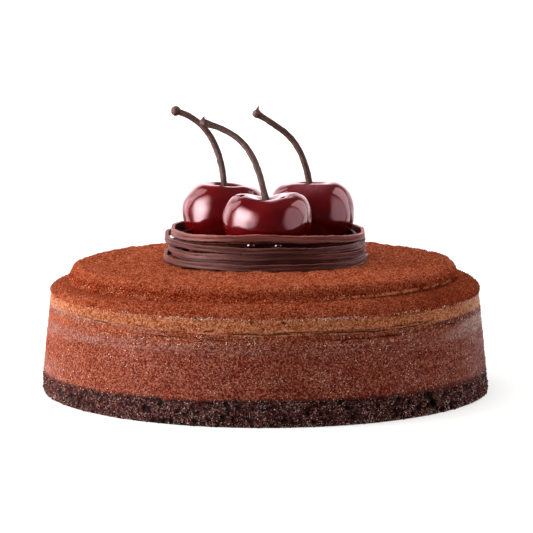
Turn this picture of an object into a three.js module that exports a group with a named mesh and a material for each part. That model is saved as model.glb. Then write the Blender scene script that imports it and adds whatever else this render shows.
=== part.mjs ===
// A small round chocolate cheesecake. A dark crumb base carries a baked chocolate filling and a paler
// mousse layer with a rounded shoulder. A low cocoa-dusted disc lies on top, and a nest of thin
// chocolate strands in its middle holds three cherries on their stems.
// Millimetres, +Z up. The front faces -Y, and the origin is the middle of the cake's underside.
import * as THREE from "three";

const { clamp, degToRad, lerp } = THREE.MathUtils;

// Cake
const CAKE_RADIUS = 75; // a 15 cm tin
const WALL_LEAN = 2.4; // the wall is this much narrower at the shoulder than at the foot
const FOOT_ROUND = 0.9; // rounding of the lowest edge
const BASE_TOP = 6.5; // mean height of the crumb base
const BASE_SWELL = 1.5; // the base is thicker by this at the front and back, thinner at the sides
const FILLING_TOP = 28;
const MOUSSE_WALL_TOP = 32.3; // where the upright side of the mousse ends
const MOUSSE_SWELL = 0.7; // that edge is higher by this at the front and back
const LIP = 0.4; // the cocoa crust overhangs the mousse's side by this
const LIP_RISE = 1; // height from the side's end to the widest point of the lip
const SHOULDER_TOP = 38.3;
const SHOULDER_RADIUS = 67;
const SHOULDER_FULLNESS = 1.4; // 1 is a straight slope, 2 an ellipse
const TOP_TILT = 0.013; // the cake's top rises to the right by this for each millimetre
const DISC_RADIUS = 65.4;
const DISC_SHIFT = -0.7; // the disc lies a little to the left of the cake's middle
const DISC_EDGE_ROUND = 4; // how far in from the rim the rounding reaches
const DISC_EDGE_RISE = 4.2; // from the shoulder to where the rounded edge meets the disc's top
const DISC_CROWN_RISE = 4.9; // from the shoulder to the disc's middle

// Chocolate nest
const NEST_SQUARENESS = 2.5; // exponent of the nest's plan, 2 is round
const STRAND_HEIGHT = 1.9;
const STRAND_THICKNESS = 1.6;
const STRAND_GAP = 0.14; // between strands that lie on each other
const STRAND_STRAY = 0.25; // how far a strand wanders from its ring
const STRAND_END_GAP = degToRad(7); // between a strand's two ends
const BOW_SHARPNESS = 3; // a larger power makes a bow shorter

// From the lowest strand up: half its width, how far its middle lies to the right, where its ends are,
// and how far and where it bows up from the strand below. Degrees run round from the right side.
const OUTER_STRANDS = [
  { reach: 33.4, shift: 0.2, ends: -1, bow: 0, bowAt: 0 },
  { reach: 32.6, shift: 0.2, ends: 64, bow: 0.2, bowAt: -150 },
  { reach: 32.3, shift: 0.5, ends: 118, bow: 0.3, bowAt: -25 },
  { reach: 32.8, shift: 0, ends: 88, bow: 0.25, bowAt: -110 },
  { reach: 31.8, shift: 1, ends: 47, bow: 1.2, bowAt: -92 },
];
const INNER_STRANDS = [
  { reach: 30, shift: 0.2, ends: 140, bow: 0, bowAt: 0 },
  { reach: 29.8, shift: 0.4, ends: 75, bow: 0.4, bowAt: 150 },
  { reach: 29.9, shift: 0.2, ends: 105, bow: 0.3, bowAt: -60 },
];

// Cherries, for a fruit of radius 1
const CHERRY_DEPTH = 1.05; // from the widest part down to the tip
const CHERRY_RISE = 1; // from the widest part up to where the top would be without its hollow
const HOLLOW_DEPTH = 0.54;
const HOLLOW_ACROSS = 0.5; // reach of the hollow across the seam
const HOLLOW_ALONG_FRONT = 0.8; // and along it, on the seam's side
const HOLLOW_ALONG_BACK = 0.6;

// Each cherry's size and place, the way its seam is turned and how far it leans to the right, with
// its stem's end measured from the foot and two points that shape the stem, as shares of that end.
const CHERRIES = [
  {
    side: "front", radius: 14.3, x: 0.7, y: -15.8, seam: 0, lean: 0,
    stem: { left: 20.8, back: 9, up: 24.4, low: [0.17, 0.51], high: [0.27, 0.82] },
  },
  {
    side: "left", radius: 13.6, x: -14.6, y: 7.9, seam: 0.5, lean: 0.17,
    stem: { left: 16.6, back: 2, up: 28, low: [0, 0.42], high: [0.21, 0.9] },
  },
  {
    side: "right", radius: 13.8, x: 16, y: 7.9, seam: -0.45, lean: -0.04,
    stem: { left: 19, back: -1, up: 28, low: [0.16, 0.62], high: [0.35, 0.68] },
  },
];

// Stems
const STEM_FOOT_RADIUS = 1.1;
const STEM_RADIUS = 1.03;
const STEM_NECK_RADIUS = 0.84;
const KNOB_RADIUS = 1.65;
const KNOB_LENGTH = 2.8;
const STEM_GAP = 0.75; // between a stem's foot and the floor of the hollow

const SEAT_GAP = 0.3; // between pieces that rest on each other
const SEGMENTS = 80; // round the cake
const EDGE_STEPS = 5; // along a rounded edge
const STRAND_STEPS = 56;
const CHERRY_SEGMENTS = 28;
const CHERRY_RINGS = 13;
const STEM_SIDES = 8;
const STEM_STEPS = 14;
const KNOB_STEPS = 4;

const TURN = 2 * Math.PI;
const FRONT = -Math.PI / 2;

const FINISHES = {
  crumb: { color: 0x3d2320, roughness: 0.95 },
  filling: { color: 0x84503f, roughness: 0.6 },
  mousse: { color: 0xb27352, roughness: 0.75 },
  cocoa: { color: 0xa05230, roughness: 1 },
  chocolate: { color: 0x55322d, roughness: 0.45 },
  cherry: { color: 0x68141b, roughness: 0.12 },
  stem: { color: 0x4f3835, roughness: 0.7 },
};

function piece(name, geometry, finish) {
  geometry.computeVertexNormals();
  const material = new THREE.MeshStandardMaterial({ ...FINISHES[finish], metalness: 0 });
  const mesh = new THREE.Mesh(geometry, material);
  mesh.name = name;
  return mesh;
}

// Numbers from 0 to 1 in equal steps, both ends included.
const steps = (count) => Array.from({ length: count + 1 }, (_, i) => i / count);

// A repeatable source of numbers from 0 to 1.
function seeded(seed) {
  let state = seed;
  return () => {
    state = (state + 0x6d2b79f5) | 0;
    let mixed = Math.imul(state ^ (state >>> 15), 1 | state);
    mixed = (mixed + Math.imul(mixed ^ (mixed >>> 7), 61 | mixed)) ^ mixed;
    return ((mixed ^ (mixed >>> 14)) >>> 0) / 2 ** 32;
  };
}

// Unevenness round the cake: waves of the given counts a turn, summed to at most depth.
function ripple(depth, counts, seed) {
  const random = seeded(seed);
  const waves = counts.map((count) => ({ count, phase: random() * TURN }));
  return (angle) => {
    const sum = waves.reduce((total, wave) => total + Math.sin(wave.count * angle + wave.phase), 0);
    return (depth * sum) / waves.length;
  };
}

// A closed solid turned about Z. Each ring gives its radius and height at an angle, and the rings run
// up the outside from the axis back to the axis.
function turnedSolid(rings, segments) {
  const outline = rings.map((ring) => new THREE.Vector2(...ring(0)));
  const geometry = new THREE.LatheGeometry(outline, segments);
  const position = geometry.getAttribute("position");
  for (let i = 0; i < position.count; i++) {
    const segment = Math.floor(i / rings.length) % segments;
    const angle = (segment / segments) * TURN;
    const [radius, height] = rings[i % rings.length](angle);
    position.setXYZ(i, radius * Math.cos(angle), radius * Math.sin(angle), height);
  }
  return geometry;
}

// Heights at the cake's side, which vary round it.
const swell = (angle) => Math.cos(2 * (angle - FRONT));
const baseUneven = ripple(0.35, [5, 9, 14], 11);
const fillingUneven = ripple(0.3, [4, 7, 11], 12);
const wallUneven = ripple(0.2, [3, 5, 8], 13);
const crumbUneven = ripple(0.3, [17, 23, 31], 14);
const discUneven = ripple(0.45, [3, 6, 10], 15);

const baseTop = (angle) => BASE_TOP + BASE_SWELL * swell(angle) + baseUneven(angle);
const fillingTop = (angle) => FILLING_TOP + fillingUneven(angle);
const mousseWallTop = (angle) => MOUSSE_WALL_TOP + MOUSSE_SWELL * swell(angle);

function wallRadius(angle, height) {
  const lean = clamp((height - BASE_TOP) / (MOUSSE_WALL_TOP - BASE_TOP), 0, 1);
  return CAKE_RADIUS - WALL_LEAN * lean + wallUneven(angle);
}

// The face between two layers, straight from its uneven rim at share 1 to the axis at share 0.
function layerFace(top, level) {
  return (share) => (angle) => {
    const height = top(angle);
    return [share * wallRadius(angle, height), lerp(level, height, share)];
  };
}
const baseFace = layerFace(baseTop, BASE_TOP);
const fillingFace = layerFace(fillingTop, FILLING_TOP);
const OUTWARD = [0, 0.5, 0.85, 1];
const INWARD = [...OUTWARD].reverse();

// Rings of the side between two layer faces, without the rims themselves.
function sideRings(bottom, top, count, relief = () => 0) {
  return steps(count).slice(1, -1).map((share) => (angle) => {
    const height = lerp(bottom(angle), top(angle), share);
    return [wallRadius(angle, height) + relief(angle) * Math.sin(share * Math.PI), height];
  });
}

function crumbBase() {
  const foot = (inset, height) => (angle) => [wallRadius(angle, 0) - inset, height];
  const rings = [
    () => [0, 0],
    () => [CAKE_RADIUS / 2, 0],
    foot(FOOT_ROUND, 0),
    foot(0, FOOT_ROUND),
    ...sideRings(() => FOOT_ROUND, baseTop, 3, crumbUneven),
    ...INWARD.map(baseFace),
  ];
  return piece("crumb_base", turnedSolid(rings, SEGMENTS), "crumb");
}

function chocolateFilling() {
  const rings = [
    ...OUTWARD.map(baseFace),
    ...sideRings(baseTop, fillingTop, 4),
    ...INWARD.map(fillingFace),
  ];
  return piece("chocolate_filling", turnedSolid(rings, SEGMENTS), "filling");
}

// The flat, slightly tilted plane on top of the shoulder.
const shoulderTop = (x) => SHOULDER_TOP + TOP_TILT * x;

// The mousse's side ends under an overhanging lip, and a full shoulder rises from there to its top.
function paleMousse() {
  const onTop = (radius) => (angle) => [radius, shoulderTop(radius * Math.cos(angle))];
  const shoulder = steps(EDGE_STEPS).slice(0, -1).map((share) => (angle) => {
    const turn = (share * Math.PI) / 2;
    const out = Math.cos(turn) ** (2 / SHOULDER_FULLNESS);
    const up = Math.sin(turn) ** (2 / SHOULDER_FULLNESS);
    const radius = lerp(SHOULDER_RADIUS, wallRadius(angle, MOUSSE_WALL_TOP) + LIP, out);
    const top = shoulderTop(radius * Math.cos(angle));
    return [radius, lerp(mousseWallTop(angle) + LIP_RISE, top, up)];
  });
  const rings = [
    ...OUTWARD.map(fillingFace),
    ...sideRings(fillingTop, mousseWallTop, 2),
    (angle) => [wallRadius(angle, MOUSSE_WALL_TOP), mousseWallTop(angle)],
    ...shoulder,
    ...[SHOULDER_RADIUS, SHOULDER_RADIUS / 2, 0].map(onTop),
  ];
  return piece("pale_mousse", turnedSolid(rings, SEGMENTS), "mousse");
}

// Height of the disc's gently domed top, inside its rounded edge.
function discTop(x, y) {
  const share = Math.hypot(x - DISC_SHIFT, y) / (DISC_RADIUS - DISC_EDGE_ROUND);
  return shoulderTop(x) + lerp(DISC_CROWN_RISE, DISC_EDGE_RISE, share ** 2);
}

function cocoaDisc() {
  const acrossTo = (radius, angle) => DISC_SHIFT + radius * Math.cos(angle);
  const edge = steps(EDGE_STEPS).map((share) => (angle) => {
    const turn = (share * Math.PI) / 2;
    const radius = DISC_RADIUS + discUneven(angle) - DISC_EDGE_ROUND * (1 - Math.cos(turn));
    return [radius, shoulderTop(acrossTo(radius, angle)) + DISC_EDGE_RISE * Math.sin(turn)];
  });
  const under = [0, DISC_RADIUS / 2].map((radius) => (angle) => [
    radius,
    shoulderTop(acrossTo(radius, angle)),
  ]);
  const top = [48, 32, 16, 0].map((radius) => (angle) => [
    radius,
    discTop(acrossTo(radius, angle), radius * Math.sin(angle)),
  ]);
  const disc = piece("cocoa_disc", turnedSolid([...under, ...edge, ...top], SEGMENTS), "cocoa");
  disc.position.x = DISC_SHIFT;
  return disc;
}

// The nest's plan is a rounded square: its radius at an angle, for a half width of 1.
function nestPlan(angle) {
  const across = Math.abs(Math.cos(angle)) ** NEST_SQUARENESS;
  const along = Math.abs(Math.sin(angle)) ** NEST_SQUARENESS;
  return (across + along) ** (-1 / NEST_SQUARENESS);
}

// A strand's middle line, once round the nest: its place in plan and its height, both by the angle.
class StrandPath extends THREE.Curve {
  constructor(start, plan, height) {
    super();
    Object.assign(this, { start, plan, height });
  }

  getPoint(share, target = new THREE.Vector3()) {
    const angle = this.start + share * (TURN - STRAND_END_GAP);
    const { x, y } = this.plan(angle);
    return target.set(x, y, this.height(angle));
  }
}

const strandSection = new THREE.Shape([
  new THREE.Vector2(-STRAND_HEIGHT / 2, -STRAND_THICKNESS / 2),
  new THREE.Vector2(STRAND_HEIGHT / 2, -STRAND_THICKNESS / 2),
  new THREE.Vector2(STRAND_HEIGHT / 2, STRAND_THICKNESS / 2),
  new THREE.Vector2(-STRAND_HEIGHT / 2, STRAND_THICKNESS / 2),
]);

// A ring of strands, each lying on the one below it apart from its bow.
function strandRing(label, strands, seed) {
  let under = (angle) => {
    const reach = strands[0].reach * nestPlan(angle);
    return discTop(reach * Math.cos(angle), reach * Math.sin(angle)) + SEAT_GAP;
  };
  return strands.map(({ reach, shift, ends, bow, bowAt }, level) => {
    const floor = under;
    const stray = ripple(STRAND_STRAY, [2, 3, 5], seed + level);
    const gap = level === 0 ? 0 : STRAND_GAP;
    const plan = (angle) => {
      const radius = reach * nestPlan(angle) + stray(angle);
      return { x: shift + radius * Math.cos(angle), y: radius * Math.sin(angle) };
    };
    const height = (angle) => {
      const lift = bow * Math.max(0, Math.cos(angle - degToRad(bowAt))) ** BOW_SHARPNESS;
      return floor(angle) + gap + lift + STRAND_HEIGHT / 2;
    };
    under = (angle) => height(angle) + STRAND_HEIGHT / 2;
    const geometry = new THREE.ExtrudeGeometry(strandSection, {
      steps: STRAND_STEPS,
      bevelEnabled: false,
      extrudePath: new StrandPath(degToRad(ends), plan, height),
    });
    return piece(`${label}_${level + 1}`, geometry, "chocolate");
  });
}

// Height of a cherry's skin over its widest part, for a fruit of radius 1 with its seam on -Y.
function cherryHeight(polar, x, y) {
  const rise = Math.cos(polar);
  if (rise < 0) return CHERRY_DEPTH * rise;
  const along = y < 0 ? HOLLOW_ALONG_FRONT : HOLLOW_ALONG_BACK;
  const hollow = Math.exp(-((x / HOLLOW_ACROSS) ** 2) - (y / along) ** 2);
  return CHERRY_RISE * rise - HOLLOW_DEPTH * hollow * Math.sqrt(rise);
}

function cherryFlesh(name, radius) {
  const rings = steps(CHERRY_RINGS).map((share) => (angle) => {
    const polar = (1 - share) * Math.PI;
    const reach = Math.sin(polar);
    const height = cherryHeight(polar, reach * Math.cos(angle), reach * Math.sin(angle));
    return [radius * reach, radius * height];
  });
  return piece(name, turnedSolid(rings, CHERRY_SEGMENTS), "cherry");
}

// A straight tapered stem with a knob at its far end, bent along its path.
function cherryStem(name, foot, { left, back, up, low, high }) {
  const pathPoint = (across, along) =>
    new THREE.Vector3(-left * across, back * along, up * along).add(foot);
  const path = new THREE.CubicBezierCurve3(
    foot,
    pathPoint(...low),
    pathPoint(...high),
    pathPoint(1, 1),
  );
  const knobAt = 1 - KNOB_LENGTH / path.getLength();
  const shaft = steps(STEM_STEPS).map((share) => [
    lerp(STEM_RADIUS, STEM_NECK_RADIUS, share) + (STEM_FOOT_RADIUS - STEM_RADIUS) * (1 - share) ** 8,
    share * knobAt,
  ]);
  const knob = steps(KNOB_STEPS).slice(1).map((share) => [
    lerp(STEM_NECK_RADIUS, KNOB_RADIUS, Math.sin(share * Math.PI)),
    lerp(knobAt, 1, share),
  ]);
  const outline = [[0, 0], ...shaft, ...knob, [0, 1]];
  const geometry = turnedSolid(outline.map((point) => () => point), STEM_SIDES);

  // each point keeps its offset from the middle line, which goes to its place along the path
  const frames = path.computeFrenetFrames(outline.length - 1, false);
  const position = geometry.getAttribute("position");
  for (let i = 0; i < position.count; i++) {
    const share = outline[i % outline.length][1];
    const frame = Math.round(share * (outline.length - 1));
    const point = path.getPointAt(share);
    point.addScaledVector(frames.normals[frame], position.getX(i));
    point.addScaledVector(frames.binormals[frame], position.getY(i));
    position.setXYZ(i, point.x, point.y, point.z);
  }
  return piece(name, geometry, "stem");
}

function cherry({ side, radius, x, y, seam, lean, stem }) {
  const flesh = cherryFlesh(`cherry_${side}`, radius);
  flesh.rotation.set(0, lean, seam);
  const hollowFloor = radius * (CHERRY_RISE - HOLLOW_DEPTH);
  const foot = new THREE.Vector3(0, 0, hollowFloor + STEM_GAP).applyEuler(flesh.rotation);
  const group = new THREE.Group();
  group.add(flesh, cherryStem(`stem_${side}`, foot, stem));
  group.position.set(x, y, discTop(x, y) + SEAT_GAP + CHERRY_DEPTH * radius);
  return group;
}

const cheesecake = new THREE.Group();
cheesecake.add(
  crumbBase(),
  chocolateFilling(),
  paleMousse(),
  cocoaDisc(),
  ...strandRing("nest_strand", OUTER_STRANDS, 21),
  ...strandRing("nest_inner_strand", INNER_STRANDS, 41),
  ...CHERRIES.map(cherry),
);

export default cheesecake;
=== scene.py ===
"""A small round chocolate cheesecake with a nest of chocolate strands and three cherries on top.

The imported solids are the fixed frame. Each piece that shows is modelled here with its own surface, in
the place of the solid that it stands for. Metres, +Z up, and the front faces -Y.
"""
import math
import random

import bpy
import numpy as np
from bpy.props import FloatProperty, FloatVectorProperty, PointerProperty
from mathutils import Matrix, Vector


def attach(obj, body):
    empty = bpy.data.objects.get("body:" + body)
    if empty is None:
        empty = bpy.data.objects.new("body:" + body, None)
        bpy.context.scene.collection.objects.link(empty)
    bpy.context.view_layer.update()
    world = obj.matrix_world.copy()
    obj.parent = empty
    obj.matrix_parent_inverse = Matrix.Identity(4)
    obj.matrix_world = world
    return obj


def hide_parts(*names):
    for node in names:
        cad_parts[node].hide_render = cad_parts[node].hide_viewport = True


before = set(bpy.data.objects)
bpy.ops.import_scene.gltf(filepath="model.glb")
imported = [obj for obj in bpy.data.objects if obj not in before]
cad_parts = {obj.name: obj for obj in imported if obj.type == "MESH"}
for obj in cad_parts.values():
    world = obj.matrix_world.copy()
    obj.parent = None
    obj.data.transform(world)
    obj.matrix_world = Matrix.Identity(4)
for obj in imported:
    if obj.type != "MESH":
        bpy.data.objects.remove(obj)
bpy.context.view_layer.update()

bl_info = {
    "name": "Chocolate Cheesecake",
    "version": (1, 0, 0),
    "blender": (4, 5, 0),
    "location": "View3D > Sidebar > Cheesecake",
    "description": "Models a cocoa-dusted cheesecake with a chocolate nest and cherries",
    "category": "Add Mesh",
}

MM = 0.001
TURN = 2 * math.pi
FRONT = -math.pi / 2
LEFT = math.pi
BODY = "root"

# Cake layers
BASE_SWELL = 0.7 * MM  # the base is thicker by this at the front and back, thinner at the sides
MOUSSE_SWELL = 0.1 * MM  # the cocoa's edge is higher by this at the front and back
FILLING_TILT = 0.4 * MM  # the filling is higher by this at the left, lower at the right
FILLING_SAG = 0.75 * MM  # the filling is lower by this at the front
SAG_AT, SAG_SPAN = -1.5, 0.85
SAG_END_AT, SAG_END_SPAN, SAG_END_SHARE = -0.5, 0.3, 0.9
SHOULDER_DIP = 1.2 * MM  # the shoulder is lower by this at the left and right
SHOULDER_TILT = 0.7 * MM  # the shoulder is higher by this at the right, lower at the left
WALL_DRIFT = -0.3 * MM  # how far to the right the layers above the base lie
FILLING_INSET = 0.3 * MM  # the filling stands back from the base by this
TOP_TILT = 0.007  # the disc rises to the right by this for each unit across
FOOT_ROUND = 0.6 * MM
BASE_LEAN = 0.5 * MM  # the base is narrower by this at its top
LIP = 0.4 * MM  # the cocoa crust overhangs the mousse's side by this
LIP_RISE = 1.0 * MM
SHOULDER_FULLNESS = 1.75  # 1 is a straight slope, 2 an ellipse
DISC_SHIFT = -0.7 * MM
DISC_EDGE_ROUND = 4.0 * MM
DISC_SINK = 2.2 * MM  # the disc's foot reaches into the shoulder by this
DISC_DRIFT = 1.8 * MM  # width of the powder that lies in the corner at the disc's foot
DISC_DRIFT_RISE = 2.2 * MM
CLEARED_DRIFT = 0.72  # share of that powder which is gone where the disc's edge stands clear
NEST_FLOOR = 29 * MM  # the disc's top inside this radius lies under the nest

# Meshes
ROUND_STEPS = 1000  # segments round the cake's side
DISC_STEPS = 900
SLICES = 20
FOOT_STEPS = 4
SHOULDER_STEPS = 26
DISC_EDGE_STEPS = 16
DOME_ROWS, NEST_FLOOR_ROWS = 62, 10
ROW = 0.45 * MM  # between rows of points on a side that shows
BASE_ROW, FOOT_ROW = 0.4 * MM, 0.5 * MM
FINE_ROW = 0.2 * MM
LIP_ROW = 0.3 * MM
TOP_ROW = 0.6 * MM
SHOULDER_ROW = 0.8 * MM
HIDDEN_ROW = 12 * MM
EDGE_REACH = 3 * MM  # rows are fine this far in from a layer's side
SHOULDER_REACH = 4 * MM
WALL_DEPTH = 1.2 * MM
SIDE_DEPTH = 1.5 * MM  # points this near to the outside belong to the side
SLIGHT = 0.01 * MM
MERGE_DISTANCE = 0.001 * MM
FLOOR_GAP = 0.05 * MM

# Reliefs: the size of the lumps, and how deep they are where nobody would change it
BASE_LUMPS = 1.5 * MM
FILLING_LUMPS, FILLING_SMEARS, SMEAR_STRETCH = (1.2 * MM, 0.4 * MM), (1.1 * MM, 0.5 * MM), 14
SHOULDER_LUMPS = 1.1 * MM
DISC_LUMPS, DISC_CLUMPS, DISC_SWELLS = 1.2 * MM, (2.8 * MM, 0.75 * MM), (7 * MM, 1.1 * MM)
FRUIT_SWELLS = (9 * MM, 1.0 * MM)
STEM_LUMPS = (1.6 * MM, 0.3 * MM)
BASE_FLUFF, FILLING_FLUFF, SHOULDER_FLUFF, DISC_FLUFF = 0.12 * MM, 0.05 * MM, 0.06 * MM, 0.065 * MM
PATCH_WAVES, PATCH_SPREAD, PATCH_CONTRAST = 9, (0.6, 1.6), 1.1

# Pits and holes. Places and widths of single holes are in millimetres.
PIT_SHADE = 0.8 * MM  # a pit this deep is painted black inside, as painted shade
DENT_REACH = 2.5  # a pit ends this many widths from its middle
BASE_PITS, BASE_PIT_WIDTHS, BASE_PIT_DEPTHS, BASE_PIT_SHADE = 800, (0.3, 0.75), (0.2, 1.0), 1.35
BASE_HOLES = [(52.4, -53.7, 6.6, 1.05), (53.6, -52.5, 3.6, 1.2)]
BASE_HOLE_DEPTH = 2.2 * MM
TAN_PITS, TAN_PIT_WIDTHS, TAN_PIT_DEPTHS = 320, (0.25, 0.45), (0.15, 0.6)
TAN_PIT_RISE, TAN_PIT_CLEAR = 0.8 * MM, 0.35
TAN_HOLES = [(5.5, -71.8, 32.3, 0.5), (-0.8, -71.9, 30.4, 0.4), (-4.2, -71.8, 32.4, 0.36)]
TAN_HOLE_DEPTH = 1.2 * MM

# Parts of the cake's side: an angle round from the right, and how far they reach to both sides of it
LEFT_SIDE = (LEFT, 0.8)
LEFT_HALF = (LEFT, 1.1)
FAR_LEFT = (LEFT, 0.4)
SHOULDER_LEFT = (LEFT, 0.75)
SHOULDER_LEFT_END = (LEFT, 0.55)
FILLING_FAR_RIGHT = (-0.12, 0.32)
FILLING_RIGHT = (-0.2, 0.3)
FILLING_FRONT_RIGHT = (-0.45, 0.5)
TAN_FAR_RIGHT = (-0.06, 0.3)
TAN_RIGHT = (-0.25, 0.4)
LOW_DUST = (-0.9, 0.3)
DARK_SHOULDER_RIGHT = (-0.65, 0.25)
DARK_SHOULDER_LEFT = (-2.1, 0.2)
EDGE_CLEAR = (-0.75, 0.45)  # where the disc's edge stands clear of powder
EDGE_WORN_AT, EDGE_WORN_SPAN = -2.35, 0.25
FLECKED_RIGHT = (-0.75, 0.5)
FLECKED_LEFT_AT, FLECKED_LEFT_SPAN = -2.42, 0.25
RIM_FLECKS_AT = -1.0
LINE_AT = -1.2
GRAINS_AT = -0.9
CRACKED = (-1.3, 0.75)  # where the cracks gape most

# Marks on the filling's side: the heights between which they lie, and how strong they are
MARK_RISE = 0.9 * MM  # they lie higher by this at the front
# painted sheen, partly a greyish bloom: the pale streaks, smears and the grey at the right below
PALE_STREAK, PALE_STREAK_SHARE = (21.4 * MM, 25.0 * MM), 0.85
PALE_STREAK_DROP, PALE_STREAK_GAIN = 1.9 * MM, 0.4  # it starts lower and is stronger at the far left
UPPER_STREAK_FOOT = 27.4 * MM
STREAK_BROKEN, STREAK_PATCH = 0.35, 7 * MM
REAR_STREAK_SHARE, REAR_STREAK_PATCH = 0.6, 16 * MM
FRONT_STREAK, FRONT_STREAK_SHARE = (21.4 * MM, 24.4 * MM), 0.25
RIGHT_SHEEN_SMEAR, RIGHT_SHEEN_SMEAR_SHARE = (22.2 * MM, 26.8 * MM), 1.3
RIGHT_SHEEN_SHARE = 0.75
LOW_SMEAR = (6 * MM, 13.5 * MM)
# painted highlight at the far right, between these heights
RIGHT_HIGHLIGHT = (22.6 * MM, 26.5 * MM)
RUST_STREAK = (25.2 * MM, 27.3 * MM)
FRONT_RUST, FRONT_RUST_SHARE = (24.5 * MM, 28.6 * MM), 0.4
RUST_FADE, LEFT_RUST_SHARE = 0.5, 0.5  # streaks fade at the far left, over an even rust at the left
GLOOM_FOOT, GLOOM_SHARE = 26.8 * MM, 0.75
SOAK, RIGHT_FOOT_SHADE = 1.4 * MM, 2.6 * MM  # how far the base's moisture darkens the filling, and how much higher painted shade reaches at the front right

# Marks on the tan band, the shoulder and the disc
# painted sheen: a grey haze low on the tan at the left, and a paler tan at the right and far left
SHEEN_HAZE, SHEEN_HAZE_FULL, SHEEN_HAZE_HEIGHT = 0.9, 1.15, 1.7 * MM
PALE_SHEEN = ((TAN_FAR_RIGHT, 0.95), (TAN_RIGHT, 0.12), (FAR_LEFT, 0.2))
LOW_DUST_DROP, DUST_SOFT = 0.6 * MM, 1.2 * MM
# dark dots of painted shade along the cocoa's edge
RIM_WIDTH, RIM_PATCH, RIM_SHARE, RIM_EVERYWHERE = 0.45 * MM, 11 * MM, 1.6, 0.1
# painted shade on the shoulder's cocoa: darker at the sides, at the right and beside the disc, lighter on the
# left
SHOULDER_SHADE, SHOULDER_SHADE_SWELL = 0.42, 0.24
SHOULDER_SHADES = (
    (SHOULDER_LEFT_END, -0.75), (DARK_SHOULDER_RIGHT, 0.3), (TAN_FAR_RIGHT, -0.15),
    (DARK_SHOULDER_LEFT, 0.15),
)
LEFT_SLOPE, LEFT_SLOPE_FROM, LEFT_SLOPE_SPAN = 0.35, 2 * MM, 2.5 * MM
BESIDE_DISC, BESIDE_DISC_GAP, BESIDE_DISC_SPAN = 0.6, MM, 1.3 * MM
FOOT_LINE, FOOT_LINE_WIDTH, FOOT_LINE_PATCH = 0.7 * MM, 0.62 * MM, 3 * MM
BARE_CLEAR, BARE_LEAST, BARE_WORN, BARE_EVERYWHERE, BARE_MOST = 1.1, 0.35, 0.35, 0.03, 1.1
# painted shade on the disc's lower edge, less at its very foot
DISC_EDGE_SHADE, DISC_EDGE_SHADE_TOP, DISC_EDGE_SHADE_SPAN, DISC_FOOT_LESS_SHADE = 0.8, 4.5 * MM, 2.6 * MM, 0.25

# Loose grains: how many, least and most half width in millimetres, seeds of their places and shapes, and
# how far they are sunk, as a share of that half width
GRAINS = {
    "cocoa_grains": (9000, 0.07, 0.19, 51, 52, -0.35),
    "shoulder_grains": (5000, 0.09, 0.22, 58, 59, -0.35),
    "pale_flecks": (480, 0.1, 0.25, 53, 55, 0),
    "tan_flecks": (420, 0.09, 0.22, 54, 71, 0),
    "filling_glint_grains": (5200, 0.06, 0.165, 64, 65, 0.1),
    "base_crumbs": (4200, 0.12, 0.34, 56, 57, 0.5),
    "pale_glint_crumbs": (3600, 0.07, 0.19, 67, 68, 0.1),
}
GRAIN_SHAKE = 0.15  # in millimetres
GRAIN_SQUASH, GRAIN_JITTER = (0.6, 1.25), (0.8, 1.2)
GRAIN_RING, GRAIN_RISE, SHOULDER_GRAIN_RISE = 30 * MM, 1.8 * MM, 1.2 * MM
RIM_FLECK_WIDTH, RIM_FLECK_PATCH = 0.35 * MM, 9 * MM
RIM_FLECKS_LEAST, RIM_FLECKS_BETWEEN = 0.08, 0.15
TAN_FLECK_FOOT, TAN_FLECK_RISE, TAN_FLECK_PATCH, TAN_FLECKS_LEAST = 0.1 * MM, 0.55 * MM, 4 * MM, 0.06
GRAIN_LINE, GRAIN_LINE_WIDTH, GRAIN_LINE_PATCH, GRAIN_LINE_PLENTY = 25.1 * MM, 0.22 * MM, 12 * MM, 22
FILLING_GRAIN_PATCH, FILLING_GRAINS_LEAST = 6 * MM, 0.02
CRUMB_FOOT, CRUMB_PIT_LIMIT = 0.3 * MM, 0.35
PALE_CRUMB_PATCH, PALE_CRUMB_FOOT, PALE_CRUMBS_MEAN, PALE_CRUMBS_SWING = 5 * MM, 0.8 * MM, 0.6, 0.55

# Colours and finishes
VISIBLE = 2.2  # power that makes a step in light look even
PACKED_AND_SHADE_TINT = (0.54, 0.33, 0.25, 1)  # painted shade on the cocoa, which also stands for packed powder
TAN_FLECK = (0.46, 0.20, 0.115)
WAX_AND_SHEEN = (0.42, 0.17, 0.2, 1)  # pale rosy patch beside the fruit's hollow: painted sheen, with some wax bloom
FRUIT_GLOSS_TINT = (1.0, 0.7, 0.75, 1.0)
SHEEN_HAZE_TINT = (0.8, 0.74, 0.74, 1)
RIGHT_HIGHLIGHT_TINT = (0.9, 1, 1, 1)
WARM_TINT = (0.95, 1, 0.7, 1)
PALE_SHEEN_SHARES = (1.6, 2.7, 4.3)  # mousse paled by painted sheen, as shares of the mousse's channels
EMBER_SHARES = (0.8, 0.72, 0.55)  # rusty filling, as shares of the cocoa's channels
INNER_SHADE = 0.45  # painted shade: the strands inside the nest are darker
OUTER_GLOSS, INNER_GLOSS = 0.12, 0.02
SMOOTH_ANGLE = math.radians(70)
CHANCE_STEP, SPOT_SOFT = 0.02, 0.15
MIX_FIRST, MIX_SECOND, MIX_RESULT = 6, 7, 2  # a mix node's sockets for colours
COCOA_GRAIN, COCOA_CLUMP = 0.36 * MM, 2.6 * MM
CREAM_GRAIN = 0.38 * MM
CRUMB_GRAIN, CRUMB_CLUMP = 0.42 * MM, 1.6 * MM
BARE_GRAIN = 0.45 * MM
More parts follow.
